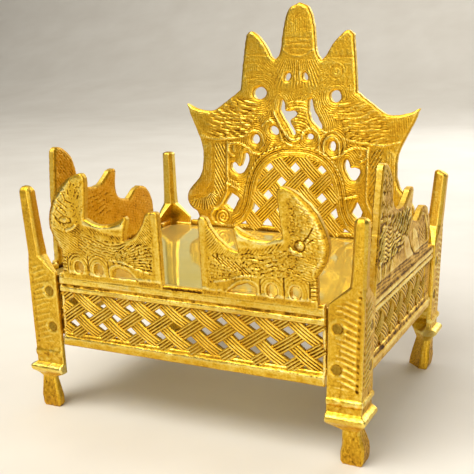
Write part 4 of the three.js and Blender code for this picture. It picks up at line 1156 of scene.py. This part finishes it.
def back_relief(field):
    """The inside of the back faces the front and carries the finest casting of the throne."""
    S, V = field.S, field.V
    X = np.abs(S)
    field.roughen(58)
    wobble = field.wander(12, 0.5, 7) + 0.25 * field.grain(3.0, 75)
    patchy = 0.5 + 0.5 * field.lumps(3.0, 76)
    arch, along, _ = field.near(ARCH_OPENING, 14)
    nearest = np.minimum(arch, field.near(BACK_OUTLINE, 14, closed=True)[0])
    for hole in BACK_HOLES:
        nearest = np.minimum(nearest, field.near(hole, 14, closed=True)[0])

    # Every edge was filed to a pale chamfer
    inner = 0.5 * np.clip(field.edge / 1.1, 0, 1)
    field.inner_tint += 0.3 * fall(field.edge, 1.25, 0.4) - 0.1 + 0.12 * rise(X, 34, 6) * (V < 108)

    # Contour lines flow round the holes and along the outline
    field.engrave("inner", 0.95 * rise(field.edge, 0.9, 0.8), (nearest + 0.3 * wobble) / 1.05,
                  (0.3 + 0.45 * fall(V, 134, 8)) * fall(V, 150, 3) * (0.4 + 0.6 * fall(X, 34, 4)))

    # Strands fall from the middle peak and part over the two small holes
    strands = fall(X, 13.5, 3) * fall(V, 149.5, 2) * rise(V, 131, 6)
    field.engrave("inner", strands * rise(field.edge, 0.8, 0.8), np.arctan2(S, 163 - V) * 17 + 0.4 * wobble, 0.65)
    inner += field.bead([(0, 148), (-1.6, 143), (0, 136), (1.6, 143), (0, 148)], 1.0, 0.16)

    # Nested arcs between the two long holes
    nest = field.leaf([(-5.5, 128), (5.5, 128), (6.5, 119), (9, 112.5), (2, 110), (-1, 114), (-2, 121)])
    reach = np.hypot(S - 1, (V - 106) * 0.8)
    inner += 0.1 * nest * ripple(reach / 2.9, 1.5)
    field.engrave("inner", nest, reach / 1.15 + 0.2 * wobble, 0.8)

    for hand in (-1, 1):
        def zone(points, soft=1.0):
            return field.leaf(points, soft, hand)

        # Column: close slanting hatch that fans out round the bulb at its foot
        column = np.array([(46.4, 106), (39.0, 105), (39.0, 80), (42.6, 74.5), (46.4, 79)]) * [hand, 1]
        field.engrave("inner", field.patch(column, 0.8), (X * 0.87 - V * 0.5 + 0.25 * wobble) / 1.5, 1.35)
        bulb = zone([(43, 77.5), (47, 79.4), (52, 76.4), (57, 75), (61, 73.4), (58, 70), (51, 68.8), (45, 71)], 0.8)
        field.engrave("inner", bulb, np.arctan2(V - 82, X - 52) * 7.2, 1.5)
        smooth = zone([(47.4, 105), (54, 101), (53.6, 88), (60, 80), (62, 76), (56, 76.4), (51, 79), (47.4, 86)])
        inner += 0.12 * smooth
        field.engrave("inner", smooth, (X + 0.3 * wobble) / 1.3, 0.3)
        inner += field.bead([(38.4, 106), (38.2, 90), (38.4, 80), (41, 74), (45, 70)], 1.4, 0.3, hand)

        # Wing: long wavy feathers that die out towards the smooth tip
        wing = zone([(21, 128.6), (34, 128.4), (46, 123.6), (58, 123), (59, 116), (53, 110), (44, 107.6), (30, 108),
                     (24.6, 114)], 1.2) * rise(field.edge, 0.6, 0.8)
        feathered = wing * fall(X, 54, 9)
        rng = np.random.default_rng(40 + hand)
        marks = []
        for row in range(10):
            for s in np.arange(21, 56, 6.6):
                place = s + 3.3 * (row % 2) + rng.uniform(-1.0, 1.0)
                height = 107.6 + 2.15 * row + 0.06 * (place - 40) + rng.uniform(-0.4, 0.4)
                tilt = 0.2 + 0.3 * math.sin(place / 5.2 + 0.9 * row)
                marks.append(((hand * place, height), hand * tilt, rng.uniform(6.4, 10.4), rng.uniform(1.2, 1.8)))
        inner += (field.strokes(marks, 0.27 if hand < 0 else 0.19) - 0.07) * feathered
        flow = V - 0.15 * X + 0.6 * np.sin(X / 3.4 + V / 4) + 0.5 * wobble
        field.engrave("inner", wing, flow / 1.3, 0.28 + (0.22 if hand < 0 else 0.1) * feathered)
        tip = zone([(49, 120), (58, 121.6), (62, 124), (58, 116), (53, 110.6), (48.6, 112)])
        field.engrave("inner", tip, (X + 0.12 * V) / 1.15, 0.3)
        inner += field.bead([(54, 109), (46, 107.2), (38, 107.8), (31, 108.6), (26, 110)], 1.3, 0.26, hand)

        # Arch border: fine lines and a nicked outer ridge that runs down into a beaded scroll
        band = fall(arch, 6.6, 0.5) * fall(V, 105.5, 1.5) * (hand * S >= 0)
        inner = covered(inner, band, 0.34 + 0.16 * ripple(arch / 3.3 + 0.4))
        field.engrave("inner", band * rise(arch, 0.7, 0.5), arch / 1.1 + 0.12 * wobble, 0.95)
        leafy = hump((arch - 5.7) / 1.1) * band * rise(V, 84, 6)
        inner += 0.5 * leafy * (ripple((along + 0.9 * arch) / 1.9, 0.8) - 0.4)
        disc = field.patch(oval((hand * 40.6, 66.2), 11.4, 9.4), 0.8)
        inner = covered(inner, disc, 0.32)
        field.inner_tint += 0.12 * disc
        coil = np.hypot(S - hand * 40.6, V - 66.2) / 1.75 + np.arctan2(V - 66.2, X - 40.6) / (2 * np.pi)
        inner += 0.1 * disc * ripple(coil)
        field.engrave("inner", disc, coil, 1.2)
        inner += field.rope(curve([(45.6, 70.4), (47.6, 66.8), (45.4, 63), (40.6, 61.6), (35, 62), (30.6, 64),
                                   (28.2, 67.4)], hand=hand), 1.7, 0.4, 1.4)

        # Curled bands between the wing, the holes and the arch
        for points, width, height in (([(37, 105), (31.5, 105.6), (27, 103.6), (24, 101), (20, 100.4)], 1.4, 0.34),
                                      ([(37.6, 104.6), (37.9, 102), (36.6, 99.8), (34.4, 98.8)], 1.2, 0.34),
                                      ([(34.6, 104), (35, 102.4), (34, 101)], 1.0, 0.28)):
            inner += field.bead(points, width, height, hand)

    # Bands that curl round the holes left of the middle, and the small ones right of it; then
    # the bars over the corner holes
    for points, width, height in (
            ([(-12, 122), (-9.4, 117), (-6.4, 112.6), (-3.6, 109.2), (-0.6, 108), (1.8, 109)], 1.6, 0.5),
            ([(-14.5, 118.6), (-11, 115.6), (-8.6, 111), (-6.8, 107.4), (-2, 105.6)], 1.2, 0.3),
            ([(-27.5, 111), (-23, 112.4), (-19, 110.4), (-17.6, 106.4), (-19.4, 102.6)], 1.3, 0.32),
            ([(-18.6, 114.6), (-16, 117.4), (-12.4, 117)], 1.2, 0.32),
            ([(3.4, 108.6), (4.4, 112.6), (8.4, 114.4), (12, 112.2), (13, 108)], 1.3, 0.36),
            ([(15.4, 101.6), (15.6, 108), (19.4, 111), (23.2, 108), (23.4, 101.6)], 1.4, 0.34),
            ([(13.4, 102), (13, 109), (19, 113.4), (25.6, 109.4), (26, 103)], 1.2, 0.26),
            ([(9.4, 118.6), (12.6, 114.4), (16, 112.6)], 1.2, 0.3),
            ([(-38.4, 84.4), (-31.4, 81.4)], 1.2, 0.55), ([(27.3, 80.2), (33.3, 81.9)], 1.2, 0.7)):
        inner += field.bead(points, width, height)
    # Comb of short teeth over one corner hole
    inner += field.strokes([((-37.2 + 1.5 * k, 85.9 - 0.65 * k), 1.9, 2.9, 0.8) for k in range(5)], 0.5)

    # Middle peak: three fine bands, and faint upright lines above them
    middle = fall(X, 9.4, 1.5)
    for height in (153.9, 156.4, 158.8):
        inner -= 0.14 * hump((V - height - 0.15 * np.cos(S / 3)) / 0.5) * fall(X, 7.4, 1.8)
    field.engrave("inner", 0.9 * middle * rise(V, 160.5, 2) * fall(V, 171, 2), (S + 0.3 * wobble) / 1.2, 0.28)
    inner += 0.3 * hump((V - 149.8 - 0.05 * X * X) / 0.8) * middle * patchy

    # Side peaks: a few faint arcs on one, a ring on the other
    low = field.patch([(-31, 136), (-16, 136), (-17, 150.6), (-29.6, 150.6)], 1.5)
    inner -= 0.08 * low * ripple(np.hypot(S + 24, V - 126) / 2.6, 3.0)
    inner -= 0.14 * hump((V - 150.6) / 0.5) * (S < -16)
    high = field.patch([(31, 136), (15, 136), (18, 152), (29.4, 152)], 1.5)
    reach = np.hypot(S - 20.6, V - 142.5)
    field.engrave("inner", high, reach / 1.4, 0.35 * fall(reach, 6, 2))
    inner -= 0.14 * hump((reach - 3.0) / 0.5)
    inner -= 0.1 * hump((V - 149.6) / 0.5) * (S > 16)

    # Row of slanting nicks along the foot, under the arch
    nicks = fall(V, 64.3, 0.6) * rise(X, 4, 2) * fall(X, 33, 2)
    inner -= 0.5 * nicks * ripple((S + 1.2 * V) / 1.9, 1.8)
    field.inner += inner + field.wander(2.4, 0.05, 29) + field.wander(8, 0.08, 30)

    # The outside is plain: soft edges, slow file waves and fine file marks
    field.outer += 0.35 * step_up(field.edge / 2.0) + field.wander(6, 0.12, 31)
    field.engrave("outer", 0.9 * step_up(field.edge / 1.5), (S * 0.35 + V + wobble) / 1.5, 0.12)


back_field = Field((-BACK_REACH - 1, FRONT_CREST_FOOT - 1), (BACK_REACH + 1, FRONT_CREST_FOOT + BACK_RISE + 1), 0.45)
back_field.cut_to(BACK_OUTLINE)
for hole in BACK_HOLES + [ARCH_OPENING]:
    back_field.pierce(hole)
back_relief(back_field)
crest("back_crest", BACK, back_field)

# Lattice in the arch, its straps let into the border
ARCH_HALF_WIDTH = 38
ARCH_TOP = 103
ARCH_PITCH = 14.8
ARCH_ROW_RISE = 7.4
ARCH_CROSSING_HEIGHT = 94.2 - 3 * ARCH_ROW_RISE
LATTICE_DEPTH = 2.95
STRAP_LET_IN = 1.2
ARCH_FIELD = Field((-ARCH_HALF_WIDTH - 2, FRONT_CREST_FOOT - 1), (ARCH_HALF_WIDTH + 2, ARCH_TOP + 1), 0.4)
ARCH_SIGNED = ARCH_FIELD.signed(ARCH_OPENING)


def in_arch(point):
    return ARCH_FIELD.sample(ARCH_SIGNED, point[0], point[1]) > -STRAP_LET_IN and point[1] > FRONT_CREST_FOOT + 0.5


lattice = woven("arch_lattice", BACK.leaning(CREST_LEAN["back"]),
                (-ARCH_HALF_WIDTH, ARCH_HALF_WIDTH, FRONT_CREST_FOOT, ARCH_TOP), (0, ARCH_CROSSING_HEIGHT),
                ARCH_PITCH, ARCH_ROW_RISE, strap_section(6.7, CREST_THICKNESS, 5, 0.45), LATTICE_DEPTH, 0.4,
                in_arch, inward=True, patina_and_shade=0.08)
finish_piece(lattice, "cast_brass", "back_panel")


# Posts
# Each level: height, leg, thickness, inner corner, proud, bevel
FULL_FLANGE = (14.0, 2.0, 2.0)
POST_LEVELS = [
    (0.0, 8.6, 3.6, 6.1, -0.8, 0.4), (1.2, 9.4, 3.95, 6.67, -0.4, 0.6), (5.0, 9.4, 3.95, 6.67, 0.0, 1.0),
    (9.5, 8.6, 3.6, 6.1, -0.45, 1.0), (14.0, 7.8, 3.28, 5.54, -0.9, 0.8), (15.6, 11.6, 4.9, 8.3, 0.0, 0.6),
    (16.4, 13.4, 3.0, 4.0, 0.75, 0.5),
    *[(height, *FULL_FLANGE, proud, bevel) for height, proud, bevel in (
        (17.2, 1.7, 0.5), (17.9, 2.3, 0.6), (18.8, 2.5, 0.6), (19.7, 2.3, 0.6), (20.4, 1.5, 0.5), (21.1, 0.0, 0.4),
        (23.9, 0.0, 0.4), (24.6, 0.8, 0.4), (25.5, 1.0, 0.5), (26.5, 0.8, 0.4), (27.2, 0.0, 0.4), (62.8, 0.0, 0.4))],
    (63.8, 14.0, 2.0, 2.5, 0.0, 0.4), (71.0, 6.3, 5.0, 5.65, 0.0, 1.3), (77.0, 5.9, 4.6, 5.25, 0.0, 1.3),
    (95.7, 5.5, 4.2, 4.85, 0.0, 1.3),
]
FINGER_FOOT = 71.0
FINGER_MIDDLE = 2.75
# How each hand-cast post strays from the common pattern, in millimetres
Habit = namedtuple("Habit", "top dome tip width shoulder lines foot slant upper_ring flare")
POST_HABITS = {
    "front_left": Habit(99.8, 3.4, 1.3, 1.08, -1.2, 0.35, 0.0, 0.0, 0.35, False),
    "front_right": Habit(97.2, 2.4, 0.0, 0.97, 0.0, 1.0, 1.5, 0.0, 1.0, False),
    "back_left": Habit(99.5, 1.4, 0.0, 1.05, 0.4, 0.8, 0.4, 0.0, 0.9, False),
    "back_right": Habit(96.8, 1.8, 1.2, 1.08, -0.4, 1.0, -0.5, 0.35, 0.9, True),
}
RING_STEP = 0.36
RIVET_RADIUS = 1.9
RIVET_EDGE_GAP = 3.8
RIVET_INSET = FLANGE_WIDTH - RIVET_EDGE_GAP
RIVET_LEVELS = {"upper": 54.6, "lower": 38.4}
DISC_SIZE = (1.0, 1.0, 1.0)
INNER_HEAD_SIZE = (1.45, 1.45, 5.0)


def post_face(a, z, lines, seed):
    """Relief of one outer face of a post: feather lines that fall to a knurled cord by the corner."""
    phase = (z + 2.6 * np.clip((9.8 - a) / 7.8, 0, 1) ** 1.4 + 0.3 * np.sin(0.31 * z + seed)) / 2.45
    ends = 9.8 + 1.4 * np.sin(2.4 * np.floor(phase) + seed)
    zone = rise(a, 2.4, 0.6) * fall(a, ends, 1.2) * rise(z, 30, 1.5)
    zone *= fall(z, 68.5 - 0.25 * a, 2)
    out = 0.45 * lines * zone * ripple(phase, 3.4)
    cord = hump((a - 1.9) / 0.85) * rise(z, 29, 1.0) * fall(z, 72, 2)
    out -= (0.34 + 0.14 * np.sin(1.7 * np.floor(phase) + seed)) * lines * cord * ripple(phase + 0.35, 1.4)

    # Rough skin by the collar, and a pocket round each rivet
    grit = blur(np.random.default_rng(seed).uniform(-1, 1, a.shape), 1) * 2.4
    out += grit * (0.07 + 0.22 * np.exp(-((z - 25.0) / 4.5) ** 2) + 0.1 * (z < 15))
    for height in RIVET_LEVELS.values():
        away = np.hypot(a - RIVET_INSET, z - height)
        out = out * rise(away, 2.0, 0.5) - 0.22 * fall(away, 2.5, 0.5) + 0.12 * hump((away - 3.1) / 0.9)
    return out


def post_piece(name, corner_x, corner_y, seed):
    """Corner post skinned from rings, its two outer faces carrying drawn relief."""
    habit = POST_HABITS[name]
    levels = np.array(POST_LEVELS)
    levels[(levels[:, 0] >= FINGER_FOOT - 8) & (levels[:, 0] < FINGER_FOOT + 1), 0] += habit.shoulder
    levels[(levels[:, 0] > 24.5) & (levels[:, 0] < 27), 4] *= habit.upper_ring
    dome_foot = habit.top - habit.dome
    shares = np.array([0.12, 0.25, 0.4, 0.55, 0.7, 0.82, 0.91, 0.97, 1.0])
    straight = np.append(np.arange(0, dome_foot, RING_STEP * COARSENESS), dome_foot)
    heights = np.append(straight, dome_foot + habit.dome * shares)
    shrinks = np.append(np.ones(len(straight)), np.maximum(0.12, (1 - shares ** 2.2) ** 0.5))
    leg, thick, inner, proud, bevel = [np.interp(heights, levels[:, 0], levels[:, k]) for k in range(1, 6)]
    if habit.flare:
        # No collar inside: the foot widens steadily into the flanges
        flares = (([0, 3, 9, 14, 18, 23], [10.8, 10.6, 9.4, 8.6, 10.4, 14], leg),
                  ([0, 14, 18, 23], [4.4, 3.9, 4.2, 2.0], thick), ([0, 14, 18, 23], [7.4, 6.3, 7.0, 2.0], inner))
        leg, thick, inner = [np.where(heights < 23, np.interp(heights, steps, widths), common)
                             for steps, widths, common in flares]
    grown = 1 + (habit.width - 1) * rise(heights, 64, 8)
    leg, thick, inner = leg * grown, thick * grown, inner * grown
    cut = np.minimum(bevel, thick / 2)
    corners = np.array([(-proud + bevel, -proud), (leg - cut, -proud), (leg, -proud + cut), (leg, thick),
                        (inner, inner), (thick, leg), (-proud + cut, leg), (-proud, leg - cut),
                        (-proud, -proud + bevel)])
    parts = [max(2, int(round(n / COARSENESS))) for n in (38, 3, 5, 24, 24, 5, 3, 38, 4)]
    ring = np.stack([(start * (1 - t) + end * t).T
                     for start, end, count in zip(corners, np.roll(corners, -1, axis=0), parts)
                     for t in np.linspace(0, 1, count, endpoint=False)], 1)
    z = np.repeat(heights[:, None], ring.shape[1], axis=1)

    # Relief on the two outer faces, slow waves everywhere
    relief = np.zeros(ring.shape[:2])
    for face, along, more in ((slice(0, parts[0]), 0, 0), (slice(sum(parts[:7]), sum(parts[:8])), 1, 3)):
        relief[:, face] = post_face(ring[:, face, along], z[:, face], habit.lines, seed + more)
        ring[:, face, 1 - along] -= relief[:, face]
    rng = np.random.default_rng(seed)
    for axis in (0, 1):
        waves = blur(rng.uniform(-1, 1, (len(heights) // 12 + 2, ring.shape[1] // 8 + 2)), 1)
        rows = np.clip(np.arange(len(heights)) / 12, 0, waves.shape[0] - 1.01)
        cells = np.arange(ring.shape[1]) / 8
        i, j = rows.astype(int)[:, None], cells.astype(int)[None, :]
        fi, fj = rows[:, None] - i, cells[None, :] - j
        blend = ((waves[i, j] * (1 - fj) + waves[i, j + 1] * fj) * (1 - fi)
                 + (waves[i + 1, j] * (1 - fj) + waves[i + 1, j + 1] * fj) * fi)
        ring[:, :, axis] += 0.3 * blend * np.clip((z - 1.0) / 3, 0, 1)
    middle = FINGER_MIDDLE * habit.width
    ring = middle + (ring - middle) * shrinks[:, None, None]
    z = z + habit.slant * (ring[:, :, 0] - middle) * rise(z, habit.top - 12, 12)

    lean = WALL_LEAN * (z - DATUM_HEIGHT)
    stray = habit.tip * np.clip((z - FINGER_FOOT) / 26, 0, 1.2) + habit.foot * fall(z, 15, 8)
    x = corner_x * (BODY_WIDTH / 2 + lean - ring[:, :, 0] + stray)
    y = corner_y * (BODY_DEPTH / 2 + lean - ring[:, :, 1]) + SHIFT_Y
    points = np.stack([x, y, z], axis=-1).reshape(-1, 3) * MM
    ids = np.arange(z.size).reshape(z.shape)
    ahead = np.roll(ids, -1, axis=1)
    faces = [np.stack([ids[:-1], ahead[:-1], ahead[1:], ids[1:]], axis=-1).reshape(-1, 4), ids[:1, ::-1], ids[-1:]]
    if corner_x * corner_y < 0:
        faces = [f[:, ::-1] for f in faces]
    # Hollows come out darker and raised spots paler; the pale collar rings and bevelled edges are painted highlights
    # over rubbed metal, and the foot is darker towards the bottom
    wear_and_painted_light = worn(relief, np.ones(relief.shape, bool), RING_STEP * COARSENESS, 0.3)
    edges = np.repeat([0.35 if k in (1, 2, 5, 6, 8) else 0 for k in range(len(parts))], parts)
    wear_and_painted_light = np.clip(wear_and_painted_light + edges + 0.5 * (proud[:, None] > 0.6) - 0.3 * fall(z, 15, 5), -1, 1)
    piece = build_mesh(name + "_post", points, faces, {"relief": wear_and_painted_light.ravel()}, CAST_BRASS)
    finish_piece(piece, "cast_brass", "post_" + name)


for k, (name, corner_x, corner_y) in enumerate((("front_left", -1, -1), ("front_right", 1, -1),
                                                ("back_left", -1, 1), ("back_right", 1, 1))):
    post_piece(name, corner_x, corner_y, 60 + k)


# Rivets
def rivet_stud():
    """One hammered disc with a slightly crowned face, standing along its own z."""
    profile = [(1.0, -0.9), (1.0, 0.0), (0.94, 0.1), (0.72, 0.17), (0.4, 0.2)]
    sides = 18
    points = [(0, 0, -0.9 * MM)]
    for radius, height in profile:
        for turn in 2 * math.pi * np.arange(sides) / sides:
            points.append((RIVET_RADIUS * radius * math.cos(turn) * MM, RIVET_RADIUS * radius * math.sin(turn) * MM,
                           height * MM))
    points.append((0, 0, 0.21 * MM))
    starts = [1 + row * sides for row in range(len(profile))]
    faces = []
    for k in range(sides):
        ahead = (k + 1) % sides
        faces.append((0, 1 + ahead, 1 + k))
        for low, high in zip(starts, starts[1:]):
            faces.append((low + k, low + ahead, high + ahead, high + k))
        faces.append((starts[-1] + k, starts[-1] + ahead, len(points) - 1))
    mesh = bpy.data.meshes.new("rivet_disc")
    mesh.from_pydata(points, [], faces)
    mesh.shade_smooth()
    return add_object("rivet_disc", mesh)


def rivet_pieces():
    """Sixteen rivets: a flush disc outside each flange and a low head inside the panel."""
    points, turns, sizes, nodes = [], [], [], []
    for wall, ends, span in ((FRONT, ("left", "right"), BODY_WIDTH), (BACK, ("left", "right"), BODY_WIDTH),
                             (LEFT, ("front", "back"), BODY_DEPTH), (RIGHT, ("front", "back"), BODY_DEPTH)):
        for end, side in zip(ends, (-1, 1)):
            for level, height in RIVET_LEVELS.items():
                along = side * (span / 2 - RIVET_INSET + WALL_LEAN * (height - DATUM_HEIGHT))
                outer = wall.place(along, height, 0.12)
                inner = wall.place(along, height, FRAME_BACK_INSET + 0.2)
                out = Vector(outer - inner).normalized()
                for spot, facing, size in ((outer, out, DISC_SIZE), (inner, -out, INNER_HEAD_SIZE)):
                    points.append(spot)
                    turns.append(facing.to_track_quat("Z", "X").to_euler())
                    sizes.append(size)
                nodes.append("rivet_" + wall.name + "_" + end + "_" + level)
    host = helper("rivet_places", points, [], {"turn": turns, "size": sizes}, "FLOAT_VECTOR")
    stud = rivet_stud()
    mesh = bake("rivets", host, STUDS, stud, {"Stud": stud, "Finish": RIVET_BRASS})
    for key in ("turn", "size"):
        if key in mesh.attributes:
            mesh.attributes.remove(mesh.attributes[key])
    finish_piece(add_object("rivets", mesh), "rivet_brass", *nodes)


rivet_pieces()


# Seat plate
def seat_piece():
    """Polished sheet with cut corners, lying loose on the ledges; slightly wavy, as hand-cut sheet is."""
    low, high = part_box("seat_plate")
    width, depth = (high.x - low.x) / 2 / MM, (high.y - low.y) / 2 / MM
    field = Field((-width - 1, -depth - 1), (width + 1, depth + 1), 1.1)
    right = [(width - SEAT_CORNER_CUT, -depth), (width, -depth + SEAT_CORNER_CUT),
             (width, depth - SEAT_CORNER_CUT), (width - SEAT_CORNER_CUT, depth)]
    field.cut_to(right + [(-s, v) for s, v in right[::-1]])
    waves = field.wander(60, 0.16, 71) + field.wander(24, 0.05, 72)
    field.outer += waves
    field.inner -= waves

    def place(s, v, depth):
        return np.stack(np.broadcast_arrays(s, v + SHIFT_Y, SEAT_TOP - depth), axis=-1) * MM

    piece = plate_mesh("seat_sheet", field, SEAT_SKIN, SEAT_THICKNESS - SEAT_SKIN, place, False, PLATE_BRASS, 0.4)
    finish_piece(piece, "plate_brass", "seat_plate")


seat_piece()


# Floor, light and camera
def stage_piece():
    """Pale floor that curves up far behind the throne."""
    rows = [(-2.5, 0.0), (-0.6, 0.0), (0.6, 0.0), (1.2, 0.0), (1.5, 0.06), (1.75, 0.22), (1.9, 0.5), (1.95, 2.6)]
    points = [(x, y, z) for y, z in rows for x in (-3.0, 3.0)]
    faces = np.array([(2 * k, 2 * k + 1, 2 * k + 3, 2 * k + 2) for k in range(len(rows) - 1)])
    material, tree = new_material("pale_matt_floor")
    place = add_node(tree, "ShaderNodeTexCoord").outputs["Object"]
    # A faint cloudiness keeps the floor from looking like paper
    cloud = ramp(tree, noise(tree, place, 90.0), [(0.3, "#dedad2"), (0.7, "#e6e3dc")])
    close_material(tree, add_node(tree, "ShaderNodeBsdfPrincipled", {"Base Color": cloud, "Roughness": 0.7}))
    build_mesh("floor", np.array(points), [faces], {}, material)


def soft_light(name, spot, aim, size, watts, colour):
    data = bpy.data.lights.new(name, "AREA")
    data.shape = "RECTANGLE"
    data.size, data.size_y = size
    data.energy = watts
    data.color = hex_colour(colour)[:3]
    light = add_object(name, data)
    light.location = spot
    light.rotation_euler = (Vector(aim) - Vector(spot)).to_track_quat("-Z", "Y").to_euler()


stage_piece()
soft_light("overhead_softbox", (-0.25, -0.5, 0.95), (0, 0, 0.07), (0.7, 0.7), 12, "#fffaf0")
soft_light("front_window", (0.35, -0.95, 0.4), (0, 0, 0.07), (0.8, 0.6), 5.0, "#fff6e6")
soft_light("back_glow", (0.28, 1.0, 0.52), (0, 0, 0.09), (0.9, 0.5), 4.5, "#ffffff")
soft_light("backdrop_wash", (0.0, 0.5, 1.7), (0, 1.95, 0.8), (2.4, 0.9), 26, "#fffaf2")
world = bpy.data.worlds.new("room")
world.use_nodes = True
world.node_tree.nodes["Background"].inputs["Color"].default_value = hex_colour("#cfcac0")
world.node_tree.nodes["Background"].inputs["Strength"].default_value = 0.14
bpy.context.scene.world = world
# The plain transform keeps the strong yellow of the brass
bpy.context.scene.view_settings.view_transform = "Standard"

# Where the photograph was taken from: yaw, downward pitch and roll in radians
CAMERA_SPOT = (0.16765, -0.35937, 0.16169)
YAW, PITCH, ROLL = -0.4491, 0.2260, -0.0158
LENS = 67.37


def photo_camera():
    data = bpy.data.cameras.new("photo_view")
    data.lens = LENS
    data.sensor_width = 36.0
    data.clip_start = 0.01
    camera = add_object("photo_view", data)
    ahead = Vector((math.sin(YAW) * math.cos(PITCH), math.cos(YAW) * math.cos(PITCH), -math.sin(PITCH)))
    across = Vector((math.cos(YAW), -math.sin(YAW), 0))
    up = across.cross(ahead)
    rolled = across * math.cos(ROLL) + up * math.sin(ROLL)
    upright = up * math.cos(ROLL) - across * math.sin(ROLL)
    camera.matrix_world = Matrix.Translation(CAMERA_SPOT) @ Matrix((rolled, upright, -ahead)).transposed().to_4x4()
    bpy.context.scene.camera = camera


photo_camera()
note_size()
